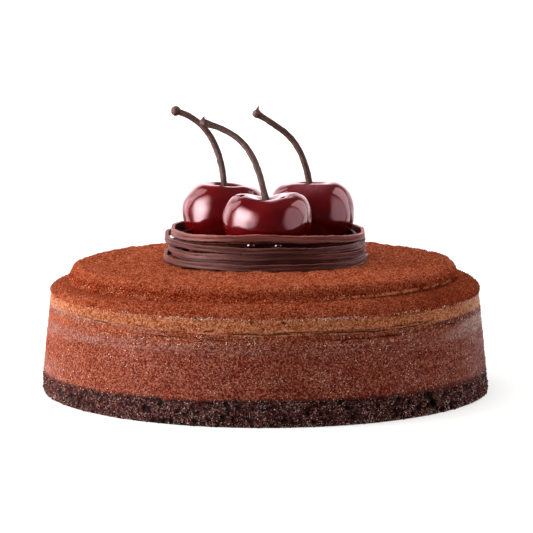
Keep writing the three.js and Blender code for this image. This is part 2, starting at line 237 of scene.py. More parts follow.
# Places along a grain from 0 to 1, each with a visible step darker or lighter than the main colour
COCOA_STEPS = ((0.22, -0.17), (0.42, -0.047), (0.58, 0.05), (0.78, 0.17))
TAN_STEPS = ((0.25, -0.17), (0.42, -0.045), (0.57, 0.04), (0.75, 0.15))
PALE_SHEEN_STEPS = ((0.25, -0.17), (0.47, -0.02), (0.75, 0.15))
ASHEN_STEPS = ((0.25, -0.04), (0.5, 0.1), (0.75, 0.24))
CREAM_STEPS = ((0.24, -0.135), (0.42, -0.045), (0.57, 0.035), (0.75, 0.155))
PALE_STEPS = ((0.25, -0.09), (0.5, 0), (0.75, 0.11))
RIGHT_HIGHLIGHT_STEPS = ((0.25, 0.08), (0.5, 0.22), (0.75, 0.36))
EMBER_STEPS = ((0.25, -0.14), (0.5, 0), (0.75, 0.12))
CRUMB_STEPS = ((0.22, -0.15), (0.45, -0.06), (0.58, 0.02), (0.68, 0.1), (0.8, 0.25))

# Seeds of the random draws
SEEDS = {
    "base pits": 31, "tan pits": 32,
    "base fluff": 33, "filling fluff": 34, "shoulder fluff": 35, "disc fluff": 36,
    "rim patches": 60, "disc patches": 61, "line patches": 62, "grain patches": 63, "crumb patches": 66,
    "broken streaks": 69, "rear streaks": 74, "rim dots": 72, "bare patches": 73,
    "outer strands": 21, "inner strands": 41,
}


def nest_strand(reach, height, squareness, shift, ends, levels, shade=1.0, tuck=(0, 0, 0, 0)):
    """One strand's sizes, from millimetres and degrees."""
    return {
        "reach": reach * MM, "height": height * MM, "squareness": squareness, "shift": shift * MM,
        "ends": math.radians(ends), "levels": [level * MM for level in levels], "shade": shade,
        "tuck": [inwards * MM for inwards in tuck],
    }


# From the lowest strand up: half its width, its height, how square its plan is, how far its middle lies
# to the right, where its ends are, and its middle's height above the disc at the right, front, left and
# back. A tuck moves it inwards at those places, behind the others. Degrees run round from the right.
OUTER_STRANDS = [
    nest_strand(33.5, 2.05, 2.45, 0.15, -1, (0.95, 1.15, 1.9, 1.15)),
    nest_strand(32.9, 2.1, 2.5, 0.3, 64, (2.4, 2.9, 3.9, 3.1), shade=0.8, tuck=(0.3, 0.7, 1.7, 0.4)),
    nest_strand(32.7, 1.95, 2.6, 0.5, 118, (3.9, 4.45, 5.0, 4.9), shade=1.1),
    nest_strand(33.2, 2.0, 2.4, -0.25, 88, (5.9, 6.6, 8.3, 7), shade=0.8),
    nest_strand(31.9, 2.25, 2.55, 0.85, 47, (8.5, 10.5, 10.0, 9.4), shade=1.65),
]
INNER_STRANDS = [
    nest_strand(30, 2.1, 2.5, 0.2, 140, (1.3, 1.3, 1.4, 1.3)),
    nest_strand(29.8, 2.1, 2.5, 0.4, 75, (3.6, 3.7, 3.6, 3.8)),
    nest_strand(29.9, 2.1, 2.5, 0.2, 105, (7.2, 7.9, 6.6, 8.1)),
]
STRAND_STRAY = 0.3 * MM
STRAND_WAVINESS = 0.24 * MM
STRAND_NICKS = 0.12 * MM  # unevenness of a strand's upper and lower edges
STRAND_THINNING = 0.1
STRAND_LEAN = 0.3
STRAND_TAPER, STRAND_TAPER_SPAN = 0.3, 0.03  # at the ends
STRAND_LEFT_SHADE = 0.4  # painted shade: the strands are darker by this at the left, where the light is strongest
GROOVE_DEPTH = 0.26 * MM
GROOVE_WIDTH = 0.14 * MM
GROOVE_WANDER = 0.75 * MM
STRAND_EDGE = 0.1 * MM
STRAND_EDGE_ANGLE = math.radians(50)
STRAND_END_GAP = math.radians(7)
STRAND_STEPS = 320
STRAND_CUTS = 6
NEARLY_HALF = 0.49
STRAND_FACE = 0.4  # points this share of the thickness outwards are on the outer face
NICK_HEIGHT = 0.4 * MM
SEAT_GAP = 0.3 * MM

# Cherries, for a fruit of radius 1
FRUIT_SEGMENTS, FRUIT_RINGS = 224, 150
CHERRY_DEPTH = 1.05
HOLLOW_DEPTH = 0.54
FUNNEL_DEPTH = 0.06
FUNNEL_WIDTH = 0.2
LOBE_HEIGHT, LOBE_SPAN = 0.65, 0.28
LOBE_BLEND = (-0.5, 0.5)  # between these, the left lobe's fullness changes into the right one's
PIT_WIDTH = 0.045
PIT_DEPTH = 0.05
WAX_AND_SHEEN_HEIGHT, WAX_AND_SHEEN_SPAN, WAX_AND_SHEEN_REACH = 0.9, 0.3, 0.45
# Each cherry's size and place, how its seam is turned, how far it leans to the right and nods forward, how
# high it rises, how far its hollow reaches aside, before and behind, how much fuller its left and right
# lobes are, its pits, and how much wax bloom and painted sheen it has and where. A stem's end is measured in
# millimetres from its foot, with two points that shape the stem as shares of that. Its knob is a share of the
# usual one, and it flares to a share of the knob over that many millimetres. A bract goes from one place by
# the end to another.
CHERRIES = [
    {
        "side": "front", "radius": 14.75 * MM, "x": 0.55 * MM, "y": -15.8 * MM,
        "seam": 0, "lean": -0.03, "nod": 0, "rise": 0.79, "hollow": (0.5, 0.8, 0.9), "fuller": (0, 0.05),
        "pits": [(0.33, -0.42), (-0.55, -0.3)], "wax_and_sheen": (0.1, 0),
        "stem": {
            "left": 22.45, "back": 9, "up": 23.1, "low": (0.17, 0.51), "high": (0.27, 0.84), "knob": 0.7,
            "flare": (0.95, 5), "bract": ((1.5, 0, -0.6), (1.5, 0, 1.9)),
        },
    },
    {
        "side": "left", "radius": 14.2 * MM, "x": -14.3 * MM, "y": 9.2 * MM,
        "seam": 0.5, "lean": 0.09, "nod": 0.02, "rise": 0.86, "hollow": (0.43, 0.4, 0.42),
        "fuller": (-0.06, 0.08), "pits": [(0.35, -0.7)], "wax_and_sheen": (0.1, 0.3),
        "stem": {
            "left": 17.7, "back": 2, "up": 26.85, "low": (0, 0.42), "high": (0.21, 0.9), "knob": 0.9,
            "flare": (0.62, 2.2),
        },
    },
    {
        "side": "right", "radius": 14.5 * MM, "x": 15.9 * MM, "y": 9.4 * MM,
        "seam": -0.45, "lean": -0.07, "nod": 0.0, "rise": 0.86, "hollow": (0.45, 0.42, 0.5),
        "fuller": (0.12, -0.04), "pits": [(0.36, -0.6)], "wax_and_sheen": (0.55, 0.3),
        "stem": {
            "left": 20.4, "back": -1, "up": 26.0, "low": (0.16, 0.62), "high": (0.34, 0.69), "knob": 0.82,
            "flare": (0.85, 2.8), "bract": ((1.4, 0, -0.5), (2.1, 0, 1.85)),
        },
    },
]
DROPS = [(-4.8, -31.4, 51.5, 1.15), (4.0, -31.4, 51.4, 1.0)]  # place and radius in millimetres
DROP_SEGMENTS, DROP_RINGS = 32, 20
DROP_WIDTH, DROP_SAG, DROP_DEPTH, DROP_HEIGHT = 1.15, 0.25, 0.7, 0.75  # shares of a ball
STEM_SINK = 0.4 * MM  # how far a stem's foot goes into the floor of the hollow
STEM_FOOT_RISE = 0.75 * MM
STEM_FOOT_FLARE, STEM_FOOT_SPAN = 0.45 * MM, 1.2 * MM
STEM_RIDGE, STEM_FINE_RIDGE = 0.05, 0.04
STEM_SIDES = 20
STEM_RINGS = 90
STEM_CURVE_STEPS = 64
NECK_SHARE = 0.94
KNOB_REACH = 1.7  # a stem's body ends this many knob radii before its tip
KNOB_STEPS = 12
BRACT_WIDTH, BRACT_TIP = 1.5 * MM, 0.12 * MM
BRACT_SIDES, BRACT_CUTS, BRACT_FLATNESS, BRACT_BEND = 12, 3, 0.6, 0.16

# Camera and lights
CAMERA_AIM = Vector((0.25, 0, 40.55)) * MM
CAMERA_DISTANCE = 800 * MM
CAMERA_RISE = math.radians(7.4)
CAMERA_LENS = 160.24
CAMERA_SENSOR = 36
CAMERA_CLIP = 0.05
STAGE_SIZE = 6
FLOOR_PLACE, BACKDROP_PLACE = (0, -0.6, -0.02 * MM), (0, 2.4, 3)
FLOOR_GLOW = (0.4, 0.9)  # near the cake and far from it
GLOW_REACH = (0.1, 1.2)
ROOM_LIGHT = 0.08
ROSY = (1, 0.78, 0.82)  # light from the sides and back that only the glossy skin of the fruit mirrors
# Each light's bearing from the camera's side and rise in degrees, its distance, width and height in metres,
# and its radiance. One that isn't lit shows in reflections alone, and one not mirrored shows in none.
LIGHTS = [
    ("key_softbox", -84, 14, 0.6, 0.8, 0.5, 19, {"mirrored": False, "feather": 0.7}),
    ("key_mirror", -68, 13, 0.6, 1.05, 1.3, 25, {"lit": False, "feather": 1}),
    ("right_panel", 75, 5, 1.2, 1.5, 2.5, 3.0, {"lit": False, "feather": 0.5, "tint": ROSY}),
    ("right_side_panel", 114, 14, 1.2, 0.5, 1.7, 3.8, {"lit": False, "tint": ROSY}),
    ("left_side_panel", -126, 14, 1.2, 0.38, 1.7, 3.2, {"lit": False, "tint": ROSY}),
    ("back_panel", 180, 12, 2.8, 8.5, 3.7, 2.7, {"lit": False, "feather": 0.5, "tint": ROSY}),
    ("right_fill", 80, 20, 1.2, 1.2, 0.8, 1.5, {"mirrored": False}),
    ("overhead_panel", 0, 85, 1.6, 1.8, 1.8, 3.3, {"mirrored": False}),
]


def length(name, description, millimetres):
    return FloatProperty(
        name=name, description=description, default=millimetres * MM, min=0, unit="LENGTH", precision=5
    )


def colour(name, description, value):
    return FloatVectorProperty(
        name=name, description=description, default=value, size=3, min=0, max=1, subtype="COLOR"
    )


class CheesecakeSizes(bpy.types.PropertyGroup):
    """Sizes of the cake that a user would change."""

    cake_radius: length("Cake radius", "Half the width of the cake at its foot", 75)
    wall_lean: length("Wall lean", "How much narrower the side is at the shoulder", 2.85)
    base_top: length("Base height", "Mean height of the crumb base", 7.5)
    filling_top: length("Filling height", "Where the filling meets the mousse", 29)
    wall_top: length("Wall height", "Where the upright side ends under the cocoa", 33.2)
    shoulder_top: length("Shoulder height", "Where the shoulder meets the disc", 37.7)
    shoulder_radius: length("Shoulder radius", "Radius of the flat top of the shoulder", 67)
    disc_radius: length("Disc radius", "Radius of the raised cocoa disc", 65.4)
    disc_edge_rise: length("Disc edge", "Height of the disc's rounded edge", 4.8)
    disc_crown_rise: length("Disc crown", "Height of the disc's middle", 5.75)
    crumb_relief: length("Crumb relief", "How rough the crumb base is", 1.3)
    cocoa_relief: length("Cocoa relief", "How rough the powder lies", 0.42)
    strand_thickness: length("Strand thickness", "Thickness of a chocolate strand", 1.2)
    stem_radius: length("Stem radius", "Half the thickness of a cherry's stem", 1.08)
    knob_radius: length("Stem end radius", "Half the width of the knob at a stem's end", 1.85)


class CheesecakeColours(bpy.types.PropertyGroup):
    """Main colour of each finish."""

    crumb: colour("Crumb", "Dark pressed crumb", (0.0320, 0.0051, 0.0035))
    filling: colour("Filling", "Baked chocolate filling", (0.119, 0.0185, 0.0066))
    # also the colour of the painted sheen and painted highlight on the filling and the mousse
    bloom: colour("Bloom", "Greyish bloom on the filling", (0.172, 0.087, 0.072))
    mousse: colour("Mousse", "Pale aerated mousse", (0.315, 0.099, 0.0420))
    cocoa: colour("Cocoa", "Dry cocoa powder", (0.255, 0.051, 0.0180))
    chocolate: colour("Chocolate", "Dark chocolate of the strands", (0.068, 0.0170, 0.0132))
    cherry: colour("Cherry", "Skin of the cherries", (0.078, 0.0010, 0.0018))
    stem: colour("Stem", "Stems of the cherries", (0.046, 0.0176, 0.0142))
    # also the colour of pale grains on the filling and the base that partly stand as painted glints
    fleck: colour("Flecks", "Pale flecks at the edges of the cocoa", (0.50, 0.345, 0.285))
    floor: colour("Floor", "Pale floor under the cake", (0.52, 0.515, 0.51))


# Modelling helpers


def deselect():
    if bpy.context.object and bpy.context.object.mode != "OBJECT":
        bpy.ops.object.mode_set(mode="OBJECT")
    bpy.ops.object.select_all(action="DESELECT")


def pick(piece):
    deselect()
    piece.select_set(True)
    bpy.context.view_layer.objects.active = piece


def new_piece(name):
    """Names the primitive that was just added and puts its place into its mesh."""
    piece = bpy.context.object
    piece.name = name
    piece.data.name = name
    bpy.ops.object.transform_apply(location=True, rotation=True, scale=True)
    return piece


def close_turned():
    """Merges the seam and poles of what was just spun, and points its faces outwards."""
    bpy.ops.mesh.select_all(action="SELECT")
    bpy.ops.mesh.remove_doubles(threshold=MERGE_DISTANCE)
    bpy.ops.mesh.fill_holes(sides=0)
    bpy.ops.mesh.normals_make_consistent(inside=False)
    bpy.ops.object.mode_set(mode="OBJECT")


def turned_piece(name, outline, segments):
    """A solid turned about Z. The outline runs up the outside from the axis back to the axis.

    One slice is spun and set round the axis, which is far quicker than one long spin.
    """
    deselect()
    radius, height = outline[0]
    bpy.ops.mesh.primitive_plane_add(size=MM, location=(radius, 0, height))
    piece = new_piece(name)
    bpy.ops.object.mode_set(mode="EDIT")
    bpy.ops.mesh.merge(type="CENTER")
    for (radius, height), (next_radius, next_height) in zip(outline, outline[1:]):
        step = (next_radius - radius, 0, next_height - height)
        bpy.ops.mesh.extrude_region_move(TRANSFORM_OT_translate={"value": step})
    bpy.ops.mesh.select_all(action="SELECT")
    bpy.ops.mesh.spin(steps=segments // SLICES, angle=TURN / SLICES, center=(0, 0, 0), axis=(0, 0, 1))
    deselect()
    bpy.ops.object.empty_add(rotation=(0, 0, TURN / SLICES))
    turn = bpy.context.object
    pick(piece)
    bpy.ops.object.modifier_add(type="ARRAY")
    slices = piece.modifiers[-1]
    slices.count = SLICES
    slices.use_relative_offset = False
    slices.use_object_offset = True
    slices.offset_object = turn
    bpy.ops.object.modifier_apply(modifier=slices.name)
    bpy.data.objects.remove(turn)
    bpy.ops.object.mode_set(mode="EDIT")
    close_turned()
    return piece


def rows(start, end, spacing):
    """Points along a straight stretch, without its start."""
    count = max(1, round(math.dist(start, end) / spacing))
    shares = [i / count for i in range(1, count + 1)]
    return [(start[0] + (end[0] - start[0]) * s, start[1] + (end[1] - start[1]) * s) for s in shares]


def chain(corners):
    """An outline through corners, each given with the spacing of the rows that lead to it."""
    outline = [corners[0][0]]
    for corner, spacing in corners[1:]:
        outline += rows(outline[-1], corner, spacing)
    return outline


def read_vectors(items, field):
    flat = np.empty(len(items) * 3, dtype=np.float32)
    items.foreach_get(field, flat)
    return flat.reshape(-1, 3).astype(np.float64)


def read_points(piece):
    return read_vectors(piece.data.vertices, "co")


def read_normals(piece):
    return read_vectors(piece.data.vertex_normals, "vector")


def read_values(piece, name):
    values = np.empty(len(piece.data.vertices), dtype=np.float32)
    piece.data.attributes[name].data.foreach_get("value", values)
    return values


def write_points(piece, points):
    piece.data.vertices.foreach_set("co", points.astype(np.float32).ravel())
    piece.data.update()


def store(piece, name, values):
    """Keeps a number or a vector at each point, for the piece's material."""
    kind, field = ("FLOAT", "value") if values.ndim == 1 else ("FLOAT_VECTOR", "vector")
    layer = piece.data.attributes.new(name, kind, "POINT")
    layer.data.foreach_set(field, values.astype(np.float32).ravel())


def mark_skin(piece, chosen):
    """The points that show, to which relief is limited."""
    group = piece.vertex_groups.new(name="skin")
    group.add(np.flatnonzero(chosen).tolist(), 1.0, "REPLACE")


def roughen(piece, size, depth, detail=2, drawn_out=1):
    """Cloudy relief of that size and depth on the skin, drawn out sideways."""
    cloud = bpy.data.textures.new(f"{piece.name}_relief", "CLOUDS")
    cloud.noise_scale = size
    cloud.noise_depth = detail
    deselect()
    bpy.ops.object.empty_add()
    measure = bpy.context.object
    measure.scale = (drawn_out, drawn_out, 1)
    bpy.context.view_layer.update()
    pick(piece)
    bpy.ops.object.modifier_add(type="DISPLACE")
    relief = piece.modifiers[-1]
    relief.texture = cloud
    relief.texture_coords = "OBJECT"
    relief.texture_coords_object = measure
    relief.strength = depth
    relief.mid_level = 0.5
    relief.vertex_group = "skin"
    bpy.ops.object.modifier_apply(modifier=relief.name)
    bpy.data.objects.remove(measure)


def hump(offset, width):
    """1 in the middle, and less to both sides of it: about a third at that width."""
    return np.exp(-((offset / width) ** 2))


def part_of(angle, part):
    """How much an angle belongs to a part of the side, measured the shorter way round."""
    middle, reach = part
    return hump(np.angle(np.exp(1j * (angle - middle))), reach)


def dent(points, outward, centres, widths, depths):
    """Presses a small round pit into the points at each centre, and tells how deep each point went."""
    before = points.copy()
    for centre, width, depth in zip(centres, widths, depths):
        distance = np.linalg.norm(points - centre, axis=1)
        near = distance < DENT_REACH * width
        points[near] -= outward[near] * (depth * hump(distance[near], width))[:, None]
    return np.linalg.norm(points - before, axis=1)


def with_holes(places, widths, depths, holes, hole_depth):
    """Small scattered pits, and single holes after them."""
    single = np.array(holes) * MM
    return (
        np.concatenate([places, single[:, :3]]),
        np.concatenate([widths, single[:, 3]]),
        np.concatenate([depths, np.full(len(holes), hole_depth)]),
    )


def dress(piece, finish, slot, *nodes):
    """Gives a finished piece its material and its place in the frame."""
    pick(piece)
    bpy.ops.object.shade_smooth_by_angle(angle=SMOOTH_ANGLE)
    piece.data.materials.clear()
    piece.data.materials.append(finish)
    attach(piece, BODY)
    if nodes:
        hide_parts(*nodes)


def waves(depth, counts, seed):
    """Unevenness round the cake: so many waves a turn each, summed to at most depth."""
    draw = random.Random(seed)
    parts = [(count, draw.uniform(0, TURN)) for count in counts]
    return lambda angle: depth * sum(np.sin(c * angle + p) for c, p in parts) / len(parts)


BASE_UNEVEN = waves(0.35 * MM, (5, 9, 14), 11)
BASE_RAGGED = waves(0.5 * MM, (37, 53, 71, 97, 131), 16)
FILLING_UNEVEN = waves(0.3 * MM, (4, 7, 11), 12)
WALL_UNEVEN = waves(0.2 * MM, (3, 5, 8), 13)
DISC_UNEVEN = waves(0.45 * MM, (3, 6, 10), 15)
DUST_RAGGED = waves(0.45 * MM, (19, 31, 47, 83, 127), 17)
STREAK_WANDER = waves(0.5 * MM, (5, 9, 17, 33), 22)
STREAK_SOFT = 0.4 * MM
CRACK_WIDTH = 0.17 * MM
CRACK_OPEN, CRACK_SHUT, CRACK_FACING = 1.6, 0.35, 1.2
# Cracks: how they open and close and how they wander round the cake, their height and their depth
FILLING_CRACKS = [
    (waves(1, (5, 9, 17, 31, 47), 23), waves(0.3 * MM, (6, 11, 23, 41), 24), -1.6 * MM, 0.7 * MM),
]
MOUSSE_CRACKS = [
    (waves(1, (5, 9, 16, 29, 43), 18), waves(0.3 * MM, (6, 13, 27, 51), 19), 0.35 * MM, 1.1 * MM),
    (waves(1, (4, 11, 19, 37, 59), 20), waves(0.3 * MM, (7, 17, 33, 61), 21), 0.9 * MM, 0.6 * MM),
]


def plan_of(points):
    return np.hypot(points[:, 0], points[:, 1]), np.arctan2(points[:, 1], points[:, 0])


def outward_of(points):
    _, angle = plan_of(points)
    return np.stack([np.cos(angle), np.sin(angle), np.zeros(len(points))], axis=1)


def settle(points, sizes):
    """Gives evenly turned layers the uneven heights and wall of the real cake."""
    radius, angle = plan_of(points)
    share = np.clip(radius / sizes.cake_radius, 0, 1)
    swell = np.cos(2 * (angle - FRONT))
    sag = hump(angle - SAG_AT, SAG_SPAN) - SAG_END_SHARE * hump(angle - SAG_END_AT, SAG_END_SPAN)
    levels = [
        (0, np.zeros(len(points))),
        (sizes.base_top, BASE_SWELL * swell + BASE_UNEVEN(angle) + BASE_RAGGED(angle)),
        (sizes.filling_top, FILLING_UNEVEN(angle) - FILLING_TILT * np.cos(angle) - FILLING_SAG * sag),
        (sizes.wall_top, MOUSSE_SWELL * swell),
        (sizes.shoulder_top, SHOULDER_TILT * np.cos(angle) - SHOULDER_DIP * np.cos(angle) ** 2),
    ]
    height = points[:, 2]
    lift = np.zeros(len(points))
    for (low, low_lift), (high, high_lift) in zip(levels, levels[1:]):
        lift += np.clip((height - low) / (high - low), 0, 1) * (high_lift - low_lift)
    wider = radius + share * WALL_UNEVEN(angle)
    aside = WALL_DRIFT * np.clip(height / sizes.base_top, 0, 1)
    return np.stack(
        [wider * np.cos(angle) + aside, wider * np.sin(angle), height + share * lift], axis=1
    )


def wall_radius(sizes, height):
    lean = (height - sizes.base_top) / (sizes.wall_top - sizes.base_top)
    return sizes.cake_radius - FILLING_INSET - sizes.wall_lean * min(max(lean, 0), 1)


def side_points(count, low, high, sizes, seed):
    """Scattered places on the cake's side, between two heights."""
    draw = np.random.default_rng(seed)
    angle = draw.uniform(0, TURN, count)
    height = draw.uniform(low, high, count)
    radius = np.array([wall_radius(sizes, z) for z in height])
    places = np.stack([radius * np.cos(angle), radius * np.sin(angle), height], axis=1)
    return settle(places, sizes), draw


# Materials


class Finish:
    """A procedural material on Object coordinates, built up pattern by pattern."""

    def __init__(self, name):
        self.material = bpy.data.materials.new(name)
        self.material.use_nodes = True
        self.tree = self.material.node_tree
        self.shader = self.tree.nodes["Principled BSDF"]
        self.place = self.tree.nodes.new("ShaderNodeTexCoord").outputs["Object"]

    def put(self, socket, value):
        if isinstance(value, bpy.types.NodeSocket):
            self.tree.links.new(value, socket)
        else:
            socket.default_value = value

    def node(self, kind, **inputs):
        node = self.tree.nodes.new(f"ShaderNode{kind}")
        for name, value in inputs.items():
            self.put(node.inputs[name.replace("_", " ")], value)
        return node

    def surface(self, **inputs):
        for name, value in inputs.items():
            self.put(self.shader.inputs[name.replace("_", " ")], value)

    def attribute(self, name):
        node = self.node("Attribute")
        node.attribute_name = name
        return node

    def mark(self, name):
        """A number kept at the piece's points."""
        return self.attribute(name).outputs["Fac"]

    def drawn(self, stretch, place=None):
        """Coordinates on which a pattern comes out drawn out by stretch along each axis."""
        scale = tuple(1 / s for s in stretch)
        return self.node("Mapping", Vector=place or self.place, Scale=scale).outputs["Vector"]

    def noise(self, size, detail=2.0, roughness=0.5, place=None):
        node = self.node("TexNoise", Vector=place or self.place, Scale=1 / size, Detail=detail)
        node.inputs["Roughness"].default_value = roughness
        return node.outputs["Fac"]

    def cells(self, size):
        """Cells of that size: a number by chance for each, and the distance from its middle."""
        node = self.node("TexVoronoi", Vector=self.place, Scale=1 / size)
        chance = self.node("SeparateColor", Color=node.outputs["Color"]).outputs["Red"]
        return chance, node.outputs["Distance"]

    def spots(self, size, share, width):
        """Scattered round spots: the share of the cells that has one, and its width in cells."""
        chance, distance = self.cells(size)
        chosen = self.limits(chance, 1 - share, 1 - share + CHANCE_STEP)
        return self.times(chosen, self.limits(distance, width / 2, width / 2 - SPOT_SOFT))

    def math(self, operation, first, second):
        node = self.tree.nodes.new("ShaderNodeMath")
        node.operation = operation
        self.put(node.inputs[0], first)
        self.put(node.inputs[1], second)
        return node.outputs["Value"]

    def times(self, first, second):
        return self.math("MULTIPLY", first, second)

    def blend(self, first, second, share):
        """That share of the first pattern, and the rest of the second."""
        return self.math("ADD", self.times(first, share), self.times(second, 1 - share))

    def ragged(self, value, size, amount):
        """A value made uneven by up to that amount, so that its edge frays."""
        return self.math("ADD", value, self.limits(self.noise(size, detail=3), 0, 1, -amount, amount))

    def limits(self, value, low, high, low_out=0.0, high_out=1.0):
        node = self.node("MapRange", Value=value)
        for name, number in zip(("From Min", "From Max", "To Min", "To Max"), (low, high, low_out, high_out)):
            node.inputs[name].default_value = number
        return node.outputs["Result"]

    def ramp(self, value, stops):
        node = self.node("ValToRGB", Fac=value)
        elements = node.color_ramp.elements
        while len(elements) < len(stops):
            elements.new(0.5)
        for element, (position, tone) in zip(elements, stops):
            element.position = position
            element.color = tone
        return node.outputs["Color"]

    def grains(self, value, base, steps):
        """A ramp of visible steps darker and lighter than a colour."""
        return self.ramp(value, [(place, grained(base, step)) for place, step in steps])

    def tones(self, value, base, factors):
        """A ramp of darker and lighter tones of a colour."""
        return self.ramp(value, [(place, tone(base, factor)) for place, factor in factors])

    def mix(self, factor, first, second, kind="MIX"):
        node = self.tree.nodes.new("ShaderNodeMix")
        node.data_type = "RGBA"
        node.blend_type = kind
        self.put(node.inputs[0], factor)
        self.put(node.inputs[MIX_FIRST], first)
        self.put(node.inputs[MIX_SECOND], second)
        return node.outputs[MIX_RESULT]

    def multiply(self, factor, first, second):
        """First times second, by that share."""
        return self.mix(factor, first, second, "MULTIPLY")

    def bump(self, height, depth):
        return self.node("Bump", Height=height, Distance=depth).outputs["Normal"]


def tone(base, factor):
    """A lighter or darker tone of a colour."""
    return tuple(min(1.0, channel * factor) for channel in base) + (1.0,)


def grained(base, step):
    """A colour made lighter or darker by the same visible step in each channel, as dust and crumbs do."""
    return tuple(max(0.0, channel ** (1 / VISIBLE) + step) ** VISIBLE for channel in base) + (1.0,)


def fluff(piece, depth, seed, chosen=None):
    """Moves each point in or out by a chance amount, as grains of powder or crumb do."""
    points = read_points(piece)
    step = np.random.default_rng(seed).normal(0, depth, len(points))
    if chosen is not None:
        step = np.where(chosen, step, 0)
    points += read_normals(piece) * np.clip(step, -2 * depth, 2 * depth)[:, None]
    write_points(piece, points)


def patchy(points, size, seed):
    """A soft field from 0 to 1 over points, in patches of about that size."""
    draw = np.random.default_rng(seed)
    ways = draw.normal(0, 1, (PATCH_WAVES, 3))
    stretch = draw.uniform(*PATCH_SPREAD, PATCH_WAVES)
    ways *= (TURN / (2 * size) * stretch / np.linalg.norm(ways, axis=1))[:, None]
    field = np.sin(points @ ways.T + draw.uniform(0, TURN, PATCH_WAVES)).sum(axis=1) / PATCH_WAVES
    return np.clip(0.5 + PATCH_CONTRAST * field, 0, 1)


def scaled(base, shares):
    """A colour with its own share of each channel."""
    return tuple(channel * share for channel, share in zip(base, shares))


def speckle(finish, size, share=0.5):
    """Uneven grain from about 0 to 1: light and dark grains over softer clouds."""
    chance, _ = finish.cells(size)
    return finish.blend(chance, finish.noise(2 * size, detail=3, roughness=0.65), share)


def powder_look(finish, base):
    """Colour and grain of dry cocoa powder, darker where painted shade lies on it, which also stands for
    packed powder.
    """
    blend = finish.blend(speckle(finish, COCOA_GRAIN, 0.7), finish.noise(COCOA_CLUMP, detail=3), 0.72)
    dark = finish.times(finish.spots(0.8 * MM, 0.25, 0.6), 0.6)
    colours = finish.mix(dark, finish.grains(blend, base, COCOA_STEPS), grained(base, COCOA_STEPS[0][1]))
    return finish.multiply(finish.mark("packed_and_shade"), colours, PACKED_AND_SHADE_TINT), blend


def cocoa_finish(colours):
    """Cocoa powder, with the pale crumb bare along parts of the disc's foot."""
    finish = Finish("cocoa_powder")
    powder, grain = powder_look(finish, colours.cocoa)
    light, lightest = tone(colours.mousse, 1.4), tone(colours.mousse, 2.2)
    pale = finish.ramp(
        speckle(finish, BARE_GRAIN), [(0.25, tone(colours.cocoa, 0.6)), (0.5, light), (0.75, lightest)]
    )
    bare = finish.limits(finish.ragged(finish.mark("bare"), 0.8 * MM, 0.5), 0.45, 0.7)
    finish.surface(
        Base_Color=finish.mix(bare, powder, pale),
        Roughness=0.95,
        Diffuse_Roughness=0.7,
        Specular_IOR_Level=0.0,
        Normal=finish.bump(grain, 0.35 * MM),
    )
    return finish.material


def mousse_finish(colours):
    """Tan aerated mousse at the side, with cocoa on the shoulder, painted sheen, and painted shade in pores,
    pits and cracks.
    """
    finish = Finish("dusted_mousse")
    powder, _ = powder_look(finish, colours.cocoa)
    bands = finish.noise(1.4 * MM, detail=3, place=finish.drawn((5, 5, 1)))
    blend = finish.blend(speckle(finish, CREAM_GRAIN, 0.7), bands, 0.72)
    tan = finish.grains(blend, colours.mousse, TAN_STEPS)
    pale_sheen_colour = finish.grains(blend, scaled(colours.mousse, PALE_SHEEN_SHARES), PALE_SHEEN_STEPS)
    # painted sheen: paler tan at the right and the far left
    tan = finish.mix(finish.mark("pale_sheen"), tan, pale_sheen_colour)
    ashen = finish.multiply(1.0, finish.grains(blend, colours.bloom, ASHEN_STEPS), SHEEN_HAZE_TINT)
    # painted sheen as a grey haze low on the tan at the left
    sheen_haze = finish.times(finish.mark("sheen_haze"), finish.limits(bands, 0.3, 0.6, 0.6, 1))
    tan = finish.mix(sheen_haze, tan, ashen)
    # painted shade of small pores
    pore_shade = finish.times(finish.spots(1.3 * MM, 0.2, 0.55), 0.6)
    tan = finish.mix(pore_shade, tan, grained(colours.mousse, -0.25))
    # painted shade in the pits
    tan = finish.mix(finish.mark("pit"), tan, tone(colours.crumb, 0.2))
    # painted shade in the cracks
    tan = finish.mix(finish.times(finish.mark("crack_shade"), 0.8), tan, tone(colours.crumb, 1.2))
    covered = finish.limits(finish.ragged(finish.mark("dust"), 0.7 * MM, 0.4), 0.36, 0.64)
    # dark dots of painted shade along the cocoa's edge
    shade_dots = finish.times(finish.spots(0.85 * MM, 0.5, 0.7), finish.mark("rim"))
    finish.surface(
        Base_Color=finish.mix(shade_dots, finish.mix(covered, tan, powder), tone(colours.crumb, 0.3)),
        Roughness=finish.limits(covered, 0, 1, 0.65, 0.95),
        Diffuse_Roughness=0.6,
        Specular_IOR_Level=0.0,
        Normal=finish.bump(blend, 0.3 * MM),
    )
    return finish.material


